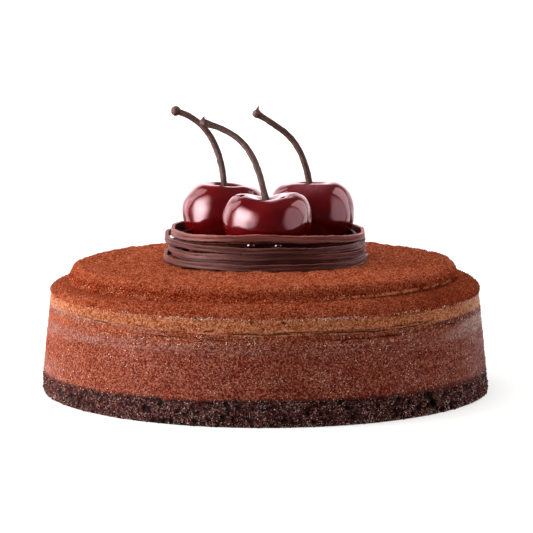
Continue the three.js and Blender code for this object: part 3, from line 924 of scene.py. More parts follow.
def filling_finish(colours):
    """Baked chocolate cream: fine grain, smears, a greyish bloom mixed with painted sheen, painted highlight
    and shade.
    """
    finish = Finish("baked_filling")
    smears = finish.noise(1.3 * MM, detail=3, place=finish.drawn((9, 9, 1)))
    patches = finish.noise(4.5 * MM, detail=4, roughness=0.6)
    blend = finish.blend(speckle(finish, CREAM_GRAIN, 0.72), smears, 0.78)
    sheen_and_bloom, rust = finish.mark("sheen_and_bloom"), finish.mark("rust")
    # painted sheen, partly bloom: paler grey on the smears
    sheen = finish.times(sheen_and_bloom, finish.limits(smears, 0.36, 0.56, 0.45, 1))
    bloom = finish.times(finish.limits(patches, 0.46, 0.68), 0.1)
    cream = finish.grains(blend, colours.filling, CREAM_STEPS)
    pale = finish.grains(blend, colours.bloom, PALE_STEPS)
    cream = finish.mix(finish.math("MAXIMUM", finish.times(sheen, 0.9), bloom), cream, pale)
    # painted highlight at the far right
    right_highlight = finish.times(finish.mark("right_highlight"), finish.limits(smears, 0.36, 0.6, 0.5, 1))
    highlight_colour = finish.multiply(1.0, finish.grains(blend, colours.bloom, RIGHT_HIGHLIGHT_STEPS), RIGHT_HIGHLIGHT_TINT)
    cream = finish.mix(right_highlight, cream, highlight_colour)
    rusty = finish.times(finish.times(rust, finish.limits(smears, 0.6, 0.42, 0.2, 1)), 0.85)
    ember = finish.grains(blend, scaled(colours.cocoa, EMBER_SHARES), EMBER_STEPS)
    cream = finish.mix(rusty, cream, ember)
    warm = finish.times(finish.limits(rust, 0, 0.5, 0, 0.45), finish.limits(sheen_and_bloom, 0, 0.6, 1, 0))
    cream = finish.multiply(warm, cream, WARM_TINT)
    glints = finish.times(finish.spots(0.6 * MM, 0.2, 0.6), 0.2)
    cream = finish.mix(glints, cream, tone(colours.fleck, 0.7))
    # darker towards the base where it is soaked, and by painted shade at the front right, with a darker band
    # under the tan there
    soaked = finish.limits(finish.ragged(finish.mark("foot"), 1.2 * MM, 0.6), 0.4, 0.9, 0, 0.9)
    cream = finish.mix(soaked, cream, tone(colours.crumb, 1))
    # painted shade in the cracks
    cream = finish.mix(finish.times(finish.mark("crack_shade"), 0.8), cream, tone(colours.crumb, 1))
    finish.surface(
        Base_Color=cream,
        Roughness=finish.limits(sheen, 0, 1, 0.7, 0.5),
        Specular_IOR_Level=0.03,
        Normal=finish.bump(blend, 0.2 * MM),
    )
    return finish.material


def crumb_finish(colours):
    """Coarse dark crumb with painted black shade in its pits, reddish grains and a few pale ones."""
    finish = Finish("pressed_crumb")
    coarse = finish.noise(CRUMB_CLUMP, detail=4, roughness=0.7)
    blend = finish.blend(speckle(finish, CRUMB_GRAIN, 0.75), coarse, 0.75)
    dark = finish.grains(blend, colours.crumb, CRUMB_STEPS)
    finish.surface(
        # painted shade in the pits and holes
        Base_Color=finish.mix(finish.mark("pit"), dark, tone(colours.crumb, 0.03)),
        Roughness=0.75,
        Specular_IOR_Level=0.05,
        Normal=finish.bump(blend, 0.5 * MM),
    )
    return finish.material


def chocolate_finish(name, base, gloss):
    """Satin dark chocolate with streaks along each strand, painted highlight with some bloom on the upper
    edges, and painted shade on the lower.
    """
    finish = Finish(name)
    along = finish.attribute("lie").outputs["Vector"]
    streaks = finish.noise(0.42 * MM, detail=3, roughness=0.6, place=finish.drawn((40, 1, 1), along))
    patches = finish.noise(7 * MM, detail=2)
    dark = finish.tones(finish.blend(streaks, patches, 0.75), base, ((0.3, 0.45), (0.5, 1), (0.68, 1.75)))
    level = finish.node("SeparateXYZ", Vector=along).outputs["Z"]
    upper = finish.limits(level, 0.74 * MM, 0.9 * MM)
    # painted highlight on the upper edges, with some bloom
    edge_highlight_and_bloom = finish.times(upper, finish.limits(patches, 0.35, 0.65, 0.3, 0.9))
    # painted shade on the lower edges
    underside_shade = finish.limits(level, -0.7 * MM, -0.95 * MM, 0, 0.65)
    edged = finish.mix(underside_shade, finish.mix(edge_highlight_and_bloom, dark, tone(base, 3.2)), tone(base, 0.3))
    finish.surface(
        Base_Color=finish.multiply(1.0, edged, finish.mark("shade")),
        Roughness=finish.limits(patches, 0.3, 0.7, 0.42, 0.6),
        Specular_IOR_Level=gloss,
        Normal=finish.bump(streaks, 0.12 * MM),
    )
    return finish.material


def cherry_finish(colours):
    """Glossy dark skin, a little redder in places, with a pale rosy painted sheen and some wax bloom beside
    the hollow.
    """
    finish = Finish("cherry_skin")
    mottle = finish.noise(7 * MM, detail=3)
    skin = finish.tones(mottle, colours.cherry, ((0.3, 0.8), (0.5, 1), (0.75, 1.3)))
    # painted sheen, with some wax bloom, beside the hollow
    wax_and_sheen_share = finish.times(finish.mark("wax_and_sheen"), finish.limits(mottle, 0.3, 0.6, 0.7, 1))
    finish.surface(
        Base_Color=finish.mix(wax_and_sheen_share, skin, WAX_AND_SHEEN),
        Roughness=finish.limits(mottle, 0.3, 0.7, 0.11, 0.15),
        Specular_IOR_Level=0.55,
        Specular_Tint=FRUIT_GLOSS_TINT,
    )
    return finish.material


def stem_finish(colours):
    """Woody brown with fine lines along the stem."""
    finish = Finish("cherry_stem")
    along = finish.attribute("lie").outputs["Vector"]
    lines = finish.noise(0.5 * MM, detail=3, place=finish.drawn((1, 1, 14), along))
    blend = finish.blend(lines, finish.noise(3 * MM, detail=3), 0.6)
    finish.surface(
        Base_Color=finish.tones(blend, colours.stem, ((0.3, 0.45), (0.5, 1), (0.72, 2.1))),
        Roughness=0.55,
        Specular_IOR_Level=0.2,
        Normal=finish.bump(lines, 0.2 * MM),
    )
    return finish.material


def grain_finish(name, base, contrast, share=1.0):
    """Loose grains in that share of a colour, each of them lighter or darker by chance."""
    finish = Finish(name)
    factors = ((0.35, 1 - contrast), (0.5, 1), (0.65, 1 + 1.6 * contrast))
    finish.surface(
        Base_Color=finish.tones(finish.noise(0.9 * MM, detail=2), scaled(base, (share,) * 3), factors),
        Roughness=0.85,
        Specular_IOR_Level=0.06,
    )
    return finish.material


def floor_finish(colours, near, far):
    """Pale surface with a painted glow of its own, stronger further from the cake."""
    finish = Finish("pale_floor")
    soft = finish.noise(400 * MM, detail=1)
    distance = finish.node("VectorMath")
    distance.operation = "LENGTH"
    finish.put(distance.inputs[0], finish.place)
    finish.surface(
        Base_Color=finish.tones(soft, colours.floor, ((0.3, 0.98), (0.7, 1.0))),
        Roughness=0.8,
        Specular_IOR_Level=0.1,
        Emission_Color=(1, 1, 1, 1),
        Emission_Strength=finish.limits(distance.outputs["Value"], *GLOW_REACH, near, far),
    )
    return finish.material


# Pieces


def quarter(steps):
    """Cosine and sine at even steps over a quarter turn, from its start."""
    turns = [i / steps * math.pi / 2 for i in range(steps + 1)]
    return [(math.cos(turn), math.sin(turn)) for turn in turns]


def make_crumb_base(sizes, colours):
    radius, top = sizes.cake_radius, sizes.base_top
    flat_radius = radius - FOOT_ROUND
    outline = chain([((0, 0), 0), ((radius - EDGE_REACH, 0), HIDDEN_ROW), ((flat_radius, 0), FOOT_ROW)])
    outline += [
        (flat_radius + FOOT_ROUND * up, FOOT_ROUND * (1 - out)) for out, up in quarter(FOOT_STEPS)[1:]
    ]
    outline += rows(outline[-1], (radius - BASE_LEAN, top), BASE_ROW)
    outline += rows(outline[-1], (radius - EDGE_REACH, top), TOP_ROW)
    outline += rows(outline[-1], (0, top), HIDDEN_ROW)
    piece = turned_piece("pressed_crumb", outline, ROUND_STEPS)
    points = settle(read_points(piece), sizes)
    on_side = (plan_of(points)[0] > radius - SIDE_DEPTH) & (points[:, 2] > FLOOR_GAP)
    places, draw = side_points(BASE_PITS, 0, top, sizes, SEEDS["base pits"])
    widths = draw.uniform(*BASE_PIT_WIDTHS, BASE_PITS) * MM
    depths = draw.uniform(*BASE_PIT_DEPTHS, BASE_PITS) * MM
    write_points(piece, points)
    mark_skin(piece, on_side)
    roughen(piece, BASE_LUMPS, sizes.crumb_relief, detail=3)
    fluff(piece, BASE_FLUFF, SEEDS["base fluff"], on_side)
    points = read_points(piece)
    outward = outward_of(points) * on_side[:, None]
    pressed = dent(points, outward, *with_holes(places, widths, depths, BASE_HOLES, BASE_HOLE_DEPTH))
    # painted shade in the pits and holes, darker the deeper they were pressed
    store(piece, "pit", np.clip(BASE_PIT_SHADE * pressed / PIT_SHADE, 0, 1))
    points[:, 2] = np.maximum(points[:, 2], 0)
    write_points(piece, points)
    dress(piece, crumb_finish(colours), "crumb", "crumb_base")


def between(level, low, high):
    """1 between two heights and 0 beyond them, softly."""
    return 1 / (1 + np.exp((low - level) / STREAK_SOFT)) / (1 + np.exp((level - high) / STREAK_SOFT))


def split_open(points, flat, foot, cracks, on_wall):
    """Presses cracks, which open and close round the cake, into the points, and tells where they are."""
    _, angle = plan_of(flat)
    facing = part_of(angle, CRACKED)
    marks = np.zeros(len(points))
    for opening, wander, level, depth in cracks:
        gape = np.clip(CRACK_OPEN * opening(angle) - CRACK_SHUT + CRACK_FACING * facing, 0, 1)
        split = gape * hump(flat[:, 2] - (foot + level + wander(angle)), CRACK_WIDTH) * on_wall
        points -= outward_of(points) * (depth * split)[:, None]
        marks = np.maximum(marks, split)
    return marks


def mark_filling(piece, flat, on_side, sizes):
    """Stores where painted sheen with bloom, rust, a painted highlight, soaking and painted shade lie on the
    filling's side.
    """
    _, angle = plan_of(flat)
    left, left_half, far_left = (part_of(angle, part) for part in (LEFT_SIDE, LEFT_HALF, FAR_LEFT))
    right, far_right = part_of(angle, FILLING_RIGHT), part_of(angle, FILLING_FAR_RIGHT)
    front_right = part_of(angle, FILLING_FRONT_RIGHT)
    front, rear = np.clip(-np.sin(angle), 0, 1), np.clip(np.sin(angle), 0, 1)
    top = sizes.filling_top + MM
    level = flat[:, 2] + STREAK_WANDER(angle)
    rising = level - MARK_RISE * front
    band = between(rising, PALE_STREAK[0] - PALE_STREAK_DROP * far_left, PALE_STREAK[1])
    streaks = (PALE_STREAK_SHARE + PALE_STREAK_GAIN * far_left) * band
    streaks += between(rising, UPPER_STREAK_FOOT, top)
    streaks *= 1 - STREAK_BROKEN + STREAK_BROKEN * patchy(flat, STREAK_PATCH, SEEDS["broken streaks"])
    rear = REAR_STREAK_SHARE * rear * patchy(flat, REAR_STREAK_PATCH, SEEDS["rear streaks"])
    # painted sheen with some bloom on the pale streaks at the left, the back and the front
    sheen_and_bloom = np.maximum(left, rear) * streaks
    sheen_and_bloom += FRONT_STREAK_SHARE * front * between(rising, *FRONT_STREAK)
    # painted sheen at the right
    sheen_and_bloom += RIGHT_SHEEN_SMEAR_SHARE * far_right * between(level, *RIGHT_SHEEN_SMEAR) + RIGHT_SHEEN_SHARE * right
    sheen_and_bloom += far_left * between(level, *LOW_SMEAR)
    store(piece, "sheen_and_bloom", np.clip(sheen_and_bloom, 0, 1) * on_side)
    rust = left_half * between(rising, *RUST_STREAK) + FRONT_RUST_SHARE * front * between(rising, *FRONT_RUST)
    rust = rust * (1 - RUST_FADE * far_left) + LEFT_RUST_SHARE * left_half
    store(piece, "rust", np.clip(rust, 0, 1) * on_side)
    # painted highlight at the far right
    store(piece, "right_highlight", far_right * between(level, *RIGHT_HIGHLIGHT) * on_side)
    # at the front right: a darker band under the tan, and painted shade rising higher from the base
    gloom = GLOOM_SHARE * front_right * between(level, GLOOM_FOOT, top)
    soaked = 1 - (flat[:, 2] - sizes.base_top) / (SOAK + RIGHT_FOOT_SHADE * front_right)
    store(piece, "foot", np.maximum(np.clip(soaked, 0, 1), gloom))


def make_filling(sizes, colours):
    low, high = sizes.base_top, sizes.filling_top
    fine = high - EDGE_REACH
    foot, rim = wall_radius(sizes, low), wall_radius(sizes, high)
    outline = chain(
        [
            ((0, low), 0),
            ((foot - EDGE_REACH, low), HIDDEN_ROW),
            ((foot, low), MM),
            ((wall_radius(sizes, fine), fine), ROW),
            ((rim, high), FINE_ROW),
            ((rim - EDGE_REACH, high), TOP_ROW),
            ((0, high), HIDDEN_ROW),
        ]
    )
    piece = turned_piece("baked_filling", outline, ROUND_STEPS)
    flat = read_points(piece)
    on_side = plan_of(flat)[0] > np.array([wall_radius(sizes, z) for z in flat[:, 2]]) - SLIGHT
    mark_filling(piece, flat, on_side, sizes)
    points = settle(flat, sizes)
    store(piece, "crack_shade", split_open(points, flat, high, FILLING_CRACKS, on_side))
    write_points(piece, points)
    mark_skin(piece, on_side)
    roughen(piece, *FILLING_LUMPS)
    roughen(piece, *FILLING_SMEARS, drawn_out=SMEAR_STRETCH)
    fluff(piece, FILLING_FLUFF, SEEDS["filling fluff"], on_side)
    dress(piece, filling_finish(colours), "filling", "chocolate_filling")


def shoulder_outline(sizes):
    """From the lip over the full shoulder to its flat top."""
    lip, foot = wall_radius(sizes, sizes.wall_top) + LIP, sizes.wall_top + LIP_RISE
    top, power = sizes.shoulder_radius, 2 / SHOULDER_FULLNESS
    return [
        (top + (lip - top) * out**power, foot + (sizes.shoulder_top - foot) * up**power)
        for out, up in quarter(SHOULDER_STEPS)
    ]


def mark_mousse(piece, flat, sizes):
    """Stores where painted sheen, cocoa and dark dots of painted shade lie, and the painted shade on the
    cocoa.
    """
    radius, angle = plan_of(flat)
    height = flat[:, 2]
    left = part_of(angle, SHOULDER_LEFT)
    # painted sheen as a grey haze low on the tan at the left
    sheen_haze = np.clip(SHEEN_HAZE_FULL - (height - sizes.filling_top) / SHEEN_HAZE_HEIGHT, 0, 1)
    store(piece, "sheen_haze", SHEEN_HAZE * left * sheen_haze)
    # painted sheen: paler tan at the right and the far left
    store(piece, "pale_sheen", np.clip(sum(share * part_of(angle, part) for part, share in PALE_SHEEN), 0, 1))
    over = height - (sizes.wall_top + DUST_RAGGED(angle) - LOW_DUST_DROP * part_of(angle, LOW_DUST))
    store(piece, "dust", np.clip(0.5 + over / DUST_SOFT, 0, 1))
    # dark dots of painted shade along the cocoa's edge, most at the front right
    dotted = np.clip(np.cos(angle - RIM_FLECKS_AT) + RIM_EVERYWHERE, 0, 1)
    dotted = RIM_SHARE * dotted * patchy(flat, RIM_PATCH, SEEDS["rim dots"])
    store(piece, "rim", hump(over, RIM_WIDTH) * np.clip(dotted, 0, 1))
    beside = np.exp(-np.clip(radius - sizes.disc_radius - BESIDE_DISC_GAP, 0, None) / BESIDE_DISC_SPAN)
    # painted shade on the shoulder's cocoa, side by side
    shade = SHOULDER_SHADE - SHOULDER_SHADE_SWELL * np.cos(2 * (angle - FRONT))
    shade += sum(share * part_of(angle, part) for part, share in SHOULDER_SHADES)
    slope = np.clip((radius - sizes.shoulder_radius - LEFT_SLOPE_FROM) / LEFT_SLOPE_SPAN, 0, 1)
    shade -= LEFT_SLOPE * left * slope
    store(piece, "packed_and_shade", np.clip(np.maximum(shade, BESIDE_DISC * beside), 0, 1))


def make_mousse(sizes, colours):
    low, high = sizes.filling_top, sizes.wall_top
    foot, inner = wall_radius(sizes, low), sizes.shoulder_radius - SHOULDER_REACH
    outline = chain(
        [
            ((0, low), 0),
            ((foot - EDGE_REACH, low), HIDDEN_ROW),
            ((foot, low), TOP_ROW),
            ((wall_radius(sizes, high), high), FINE_ROW),
        ]
    )
    shoulder = shoulder_outline(sizes)
    outline += rows(outline[-1], shoulder[0], LIP_ROW) + shoulder[1:]
    outline += rows(outline[-1], (inner, sizes.shoulder_top), SHOULDER_ROW)
    outline += rows(outline[-1], (0, sizes.shoulder_top), HIDDEN_ROW)
    piece = turned_piece("dusted_mousse", outline, ROUND_STEPS)
    flat = read_points(piece)
    points = settle(flat, sizes)
    radius, _ = plan_of(flat)
    on_side = (radius > inner) & (flat[:, 2] > low + SLIGHT)
    on_wall = radius > sizes.shoulder_radius + EDGE_REACH
    store(piece, "crack_shade", split_open(points, flat, low, MOUSSE_CRACKS, on_wall))
    mark_mousse(piece, flat, sizes)
    write_points(piece, points)
    mark_skin(piece, on_side)
    roughen(piece, SHOULDER_LUMPS, sizes.cocoa_relief, detail=3)
    fluff(piece, SHOULDER_FLUFF, SEEDS["shoulder fluff"], on_side)
    places, draw = side_points(TAN_PITS, low + TAN_PIT_RISE, high, sizes, SEEDS["tan pits"])
    widths = draw.uniform(*TAN_PIT_WIDTHS, TAN_PITS) * MM
    depths = draw.uniform(*TAN_PIT_DEPTHS, TAN_PITS) * MM
    points = read_points(piece)
    pits = with_holes(places, widths, depths, TAN_HOLES, TAN_HOLE_DEPTH)
    # painted shade in the pits and holes, darker the deeper they were pressed
    store(piece, "pit", np.clip(dent(points, outward_of(points), *pits) / PIT_SHADE - TAN_PIT_CLEAR, 0, 1))
    write_points(piece, points)
    dress(piece, mousse_finish(colours), "mousse", "pale_mousse")


def disc_top(sizes, x, y):
    """Height of the disc's gently domed top, inside its rounded edge."""
    share = np.hypot(x - DISC_SHIFT, y) / (sizes.disc_radius - DISC_EDGE_ROUND)
    rise = sizes.disc_crown_rise + (sizes.disc_edge_rise - sizes.disc_crown_rise) * share**2
    return sizes.shoulder_top + TOP_TILT * x + rise


def make_cocoa_disc(sizes, colours):
    radius, floor = sizes.disc_radius, sizes.shoulder_top
    foot, flat_radius = floor - DISC_SINK, radius - DISC_EDGE_ROUND
    inner = radius - SHOULDER_REACH
    outline = chain([((0, foot), 0), ((inner, foot), HIDDEN_ROW), ((radius, foot), SHOULDER_ROW)])
    outline += [
        (radius - DISC_EDGE_ROUND * (1 - out), floor + sizes.disc_edge_rise * up)
        for out, up in quarter(DISC_EDGE_STEPS)
    ]
    dome = [flat_radius - (flat_radius - NEST_FLOOR) * i / DOME_ROWS for i in range(1, DOME_ROWS + 1)]
    dome += [NEST_FLOOR * (1 - i / NEST_FLOOR_ROWS) for i in range(1, NEST_FLOOR_ROWS + 1)]
    outline += [(r, float(disc_top(sizes, DISC_SHIFT + r, 0)) - TOP_TILT * (DISC_SHIFT + r)) for r in dome]
    piece = turned_piece("dusted_disc", outline, DISC_STEPS)
    flat = read_points(piece)
    reach, angle = plan_of(flat)
    lift = flat[:, 2] - floor
    # powder drifts into the corner at the disc's foot, except on the right where the edge stands clear
    clear = part_of(angle, EDGE_CLEAR)
    before = np.clip(-np.sin(angle), 0, 1) ** 2
    drift = DISC_DRIFT * np.clip(1 - lift / DISC_DRIFT_RISE, 0, 1.1) ** 2 * (before - CLEARED_DRIFT * clear)
    rim = np.clip(reach / radius, 0, 1) ** 8
    grow = 1 + (DISC_UNEVEN(angle) + drift) * rim / radius
    points = flat.copy()
    points[:, 0] = flat[:, 0] * grow + DISC_SHIFT
    points[:, 1] = flat[:, 1] * grow
    points[:, 2] += TOP_TILT * points[:, 0]
    line = hump(lift - FOOT_LINE, FOOT_LINE_WIDTH) * (reach > radius - SIDE_DEPTH)
    bare = BARE_CLEAR * clear * (BARE_LEAST + patchy(flat, FOOT_LINE_PATCH, SEEDS["bare patches"]))
    bare += BARE_WORN * hump(angle - EDGE_WORN_AT, EDGE_WORN_SPAN) + BARE_EVERYWHERE
    store(piece, "bare", line * np.clip(bare, 0, BARE_MOST))
    # painted shade on the disc's lower edge, less at its very foot
    packed_and_shade = DISC_EDGE_SHADE * np.clip((DISC_EDGE_SHADE_TOP - lift) / DISC_EDGE_SHADE_SPAN, 0, 1)
    store(piece, "packed_and_shade", packed_and_shade - DISC_FOOT_LESS_SHADE * np.clip(1 - lift / MM, 0, 1))
    write_points(piece, points)
    on_skin = lift > -DISC_SINK / 2
    mark_skin(piece, on_skin)
    roughen(piece, DISC_LUMPS, sizes.cocoa_relief, detail=3)
    roughen(piece, *DISC_CLUMPS)
    roughen(piece, *DISC_SWELLS)
    fluff(piece, DISC_FLUFF, SEEDS["disc fluff"], on_skin & (reach > NEST_FLOOR))
    dress(piece, cocoa_finish(colours), "cocoa", "cocoa_disc")


def nest_plan(angle, squareness):
    """The nest's plan is a rounded square: its radius at an angle, for a half width of 1."""
    across = np.abs(np.cos(angle)) ** squareness
    along = np.abs(np.sin(angle)) ** squareness
    return (across + along) ** (-1 / squareness)


def add_bract(piece, root, tip):
    """A dry pointed scale on a stem's end, joined to it."""
    deselect()
    way = tip - root
    bpy.ops.mesh.primitive_cone_add(
        vertices=BRACT_SIDES, radius1=BRACT_WIDTH, radius2=BRACT_TIP, depth=way.length,
        location=(0, 0, way.length / 2),
    )
    scale = new_piece("bract")
    bpy.ops.object.mode_set(mode="EDIT")
    bpy.ops.mesh.select_all(action="SELECT")
    bpy.ops.mesh.subdivide(number_cuts=BRACT_CUTS)
    bpy.ops.object.mode_set(mode="OBJECT")
    points = read_points(scale)
    share = points[:, 2] / way.length
    points[:, 1] *= BRACT_FLATNESS
    points[:, 0] += BRACT_BEND * way.length * np.sin(math.pi * share)
    store(scale, "lie", points.copy())
    turn = np.array(way.to_track_quat("Z", "Y").to_matrix())
    write_points(scale, points @ turn.T + np.array(root))
    pick(scale)
    piece.select_set(True)
    bpy.context.view_layer.objects.active = piece
    bpy.ops.object.join()


def round_blend(values, angle):
    """Blends values given at the right, front, left and back smoothly round the turn."""
    right, front, left, back = values
    across, along = np.cos(angle), np.sin(angle)
    return (
        np.where(across > 0, right, left) * across**2
        + np.where(along < 0, front, back) * along**2
    )


def add_ribbon(name, reach, height, thickness):
    """A strip turned about Z nearly all the way round, with softened edges."""
    deselect()
    bpy.ops.mesh.primitive_plane_add(size=1, location=(reach, 0, 0), rotation=(math.pi / 2, 0, 0))
    bpy.context.object.scale = (thickness, height, 1)
    piece = new_piece(name)
    bpy.ops.object.mode_set(mode="EDIT")
    bpy.ops.mesh.select_all(action="SELECT")
    bpy.ops.mesh.subdivide(number_cuts=STRAND_CUTS)
    bpy.ops.mesh.select_all(action="SELECT")
    bpy.ops.mesh.delete(type="ONLY_FACE")
    bpy.ops.mesh.select_all(action="DESELECT")
    bpy.ops.object.mode_set(mode="OBJECT")
    rim = read_points(piece)
    inside = np.abs(rim[:, 0] - reach) < NEARLY_HALF * thickness
    inside &= np.abs(rim[:, 2]) < NEARLY_HALF * height
    for vertex, within in zip(piece.data.vertices, inside):
        vertex.select = bool(within)
    bpy.ops.object.mode_set(mode="EDIT")
    bpy.ops.mesh.select_mode(type="VERT")
    bpy.ops.mesh.delete(type="VERT")
    bpy.ops.mesh.select_all(action="SELECT")
    bpy.ops.mesh.spin(
        steps=STRAND_STEPS, angle=TURN - STRAND_END_GAP, center=(0, 0, 0), axis=(0, 0, 1)
    )
    close_turned()
    pick(piece)
    bpy.ops.object.modifier_add(type="BEVEL")
    edges = piece.modifiers[-1]
    edges.width = STRAND_EDGE
    edges.segments = 2
    edges.limit_method = "ANGLE"
    edges.angle_limit = STRAND_EDGE_ANGLE
    bpy.ops.object.modifier_apply(modifier=edges.name)
    return piece


def make_strand(name, strand, sizes, seed):
    reach, shift, thickness = strand["reach"], strand["shift"], sizes.strand_thickness
    piece = add_ribbon(name, reach, strand["height"], thickness)
    flat = read_points(piece)
    distance, turn = plan_of(flat)
    turn = (turn + MM) % TURN - MM
    angle = turn + strand["ends"]
    out, up = distance - reach, flat[:, 2]
    store(piece, "lie", np.stack([turn * reach + seed, out, up], axis=1))
    # each strand's tone, with painted shade at the left
    store(piece, "shade", strand["shade"] * (1 - STRAND_LEFT_SHADE * np.clip(-np.cos(angle), 0, 1) ** 2))
    end = np.minimum(turn, TURN - STRAND_END_GAP - turn)
    taper = 1 - STRAND_TAPER * hump(end, STRAND_TAPER_SPAN)
    stray = waves(STRAND_STRAY, (2, 3, 5), seed)(angle)
    thin = waves(STRAND_THINNING, (3, 7, 13, 29), seed + 100)(angle)
    lean = waves(STRAND_LEAN, (2, 3, 5), seed + 200)(angle)
    nicks = waves(STRAND_NICKS, (23, 41, 67, 97), seed + 300)(angle)
    waviness = waves(STRAND_WAVINESS, (4, 7, 11), seed + 400)(angle)
    groove = waves(GROOVE_WANDER, (2, 3, 5), seed + 500)(angle)
    on_face = out > STRAND_FACE * thickness
    out = out - on_face * GROOVE_DEPTH * hump(up - groove, GROOVE_WIDTH)
    up = up * taper * (1 + thin) + nicks * np.sign(up) * (np.abs(up) > NICK_HEIGHT)
    out = out * taper + up * lean
    middle = reach * nest_plan(angle, strand["squareness"]) + stray - round_blend(strand["tuck"], angle)
    height = disc_top(sizes, shift + middle * np.cos(angle), middle * np.sin(angle))
    height = height + round_blend(strand["levels"], angle) + waviness
    across, along = (middle + out) * np.cos(angle), (middle + out) * np.sin(angle)
    write_points(piece, np.stack([shift + across, along, height + up], axis=1))
    return piece


def make_nest(sizes, colours):
    outer = chocolate_finish("dark_chocolate", colours.chocolate, OUTER_GLOSS)
    inner = chocolate_finish("shaded_inner_chocolate", scaled(colours.chocolate, (INNER_SHADE,) * 3), INNER_GLOSS)
    rings = [
        ("nest_strand", "nest_band", OUTER_STRANDS, SEEDS["outer strands"], outer),
        ("nest_inner_strand", "nest_inner_band", INNER_STRANDS, SEEDS["inner strands"], inner),
    ]
    for node, name, strands, seed, finish in rings:
        for level, strand in enumerate(strands):
            piece = make_strand(f"{name}_{level + 1}", strand, sizes, seed + level)
            dress(piece, finish, "chocolate", f"{node}_{level + 1}")


def cherry_place(sizes, cherry):
    """Where the middle of a cherry's widest part lies, and how it is turned."""
    height = disc_top(sizes, cherry["x"], cherry["y"]) + SEAT_GAP + CHERRY_DEPTH * cherry["radius"]
    turn = (
        Matrix.Rotation(cherry["nod"], 3, "X")
        @ Matrix.Rotation(cherry["lean"], 3, "Y")
        @ Matrix.Rotation(cherry["seam"], 3, "Z")
    )
    return Vector((cherry["x"], cherry["y"], height)), turn


def make_cherry(cherry, sizes, finish):
    deselect()
    bpy.ops.mesh.primitive_uv_sphere_add(segments=FRUIT_SEGMENTS, ring_count=FRUIT_RINGS, radius=1)
    piece = new_piece(f"cherry_fruit_{cherry['side']}")
    fruit = read_points(piece)
    x, y, rise = fruit.T  # these follow every change to the fruit
    across, before, behind = cherry["hollow"]
    hollow = hump(x, across) * hump(y, np.where(y < 0, before, behind))
    funnel = hump(np.hypot(x, y), FUNNEL_WIDTH)
    upper = rise - (HOLLOW_DEPTH * hollow + FUNNEL_DEPTH * funnel) * np.sqrt(np.clip(rise, 0, 1))
    fruit[:, 2] = np.where(rise < 0, CHERRY_DEPTH * rise, cherry["rise"] * upper)
    for pit_x, pit_y in cherry["pits"]:
        pit = PIT_DEPTH * hump(np.hypot(x - pit_x, y - pit_y), PIT_WIDTH)
        fruit[:, 2] -= np.where(rise > 0, pit, 0)
    place, turn = cherry_place(sizes, cherry)
    points = fruit @ np.array(turn).T
    fuller = np.interp(points[:, 0], LOBE_BLEND, cherry["fuller"])
    points[:, 0] *= 1 + hump(rise - LOBE_HEIGHT, LOBE_SPAN) * fuller
    write_points(piece, points * cherry["radius"] + np.array(place))
    # pale rosy painted sheen with some wax bloom, high on the fruit beside its hollow
    wax_and_sheen, aside = cherry["wax_and_sheen"]
    store(piece, "wax_and_sheen", wax_and_sheen * hump(rise - WAX_AND_SHEEN_HEIGHT, WAX_AND_SHEEN_SPAN) * hump(x - aside, WAX_AND_SHEEN_REACH))
    mark_skin(piece, np.ones(len(points), dtype=bool))
    roughen(piece, *FRUIT_SWELLS, detail=1)
    dress(piece, finish, "cherry", f"cherry_{cherry['side']}")


def make_cherries(sizes, colours):
    finish = cherry_finish(colours)
    for cherry in CHERRIES:
        make_cherry(cherry, sizes, finish)


def juice_finish(colours):
    """Wet dark juice."""
    finish = Finish("cherry_juice")
    finish.surface(
        Base_Color=finish.tones(finish.noise(1.5 * MM, detail=2), colours.cherry, ((0.35, 0.2), (0.65, 0.5))),
        Roughness=0.06,
        Specular_IOR_Level=0.8,
    )
    return finish.material


def make_drops(colours):
    """Small drops of juice that hang between two strands at the front."""
    drops = []
    for x, y, z, radius in DROPS:
        deselect()
        bpy.ops.mesh.primitive_uv_sphere_add(
            segments=DROP_SEGMENTS, ring_count=DROP_RINGS, radius=radius * MM
        )
        drop = new_piece(f"juice_drop_{len(drops) + 1}")
        points = read_points(drop)
        points[:, 0] *= DROP_WIDTH - DROP_SAG * points[:, 2] / (radius * MM)
        points[:, 1] *= DROP_DEPTH
        points[:, 2] *= DROP_HEIGHT
        write_points(drop, points + np.array((x, y, z)) * MM)
        drops.append(drop)
    pick(drops[0])
    for drop in drops[1:]:
        drop.select_set(True)
    bpy.ops.object.join()
    drops[0].name = drops[0].data.name = "juice_drops"
    dress(drops[0], juice_finish(colours), "cherry")


def stem_path(sizes, cherry):
    """A curve object along a stem's middle line, and its length."""
    place, turn = cherry_place(sizes, cherry)
    stem = cherry["stem"]
    floor = cherry["radius"] * cherry["rise"] * (1 - HOLLOW_DEPTH - FUNNEL_DEPTH)
    foot = place + Vector((0, 0, cherry["radius"] * (1 - HOLLOW_DEPTH) + STEM_FOOT_RISE))
    sunk = place + turn @ Vector((0, 0, floor - STEM_SINK))

    def point(across, along):
        return foot + Vector((-stem["left"] * across, stem["back"] * along, stem["up"] * along)) * MM

    deselect()
    bpy.ops.curve.primitive_bezier_curve_add(location=(0, 0, 0))
    path = bpy.context.object
    path.data.resolution_u = STEM_CURVE_STEPS
    start, end = path.data.splines[0].bezier_points
    for knot in (start, end):
        knot.handle_left_type = knot.handle_right_type = "FREE"
    start.co = sunk
    start.handle_right = point(*stem["low"])
    start.handle_left = sunk
    end.co = point(1, 1)
    end.handle_left = point(*stem["high"])
    end.handle_right = end.co
    return path, path.data.splines[0].calc_length()


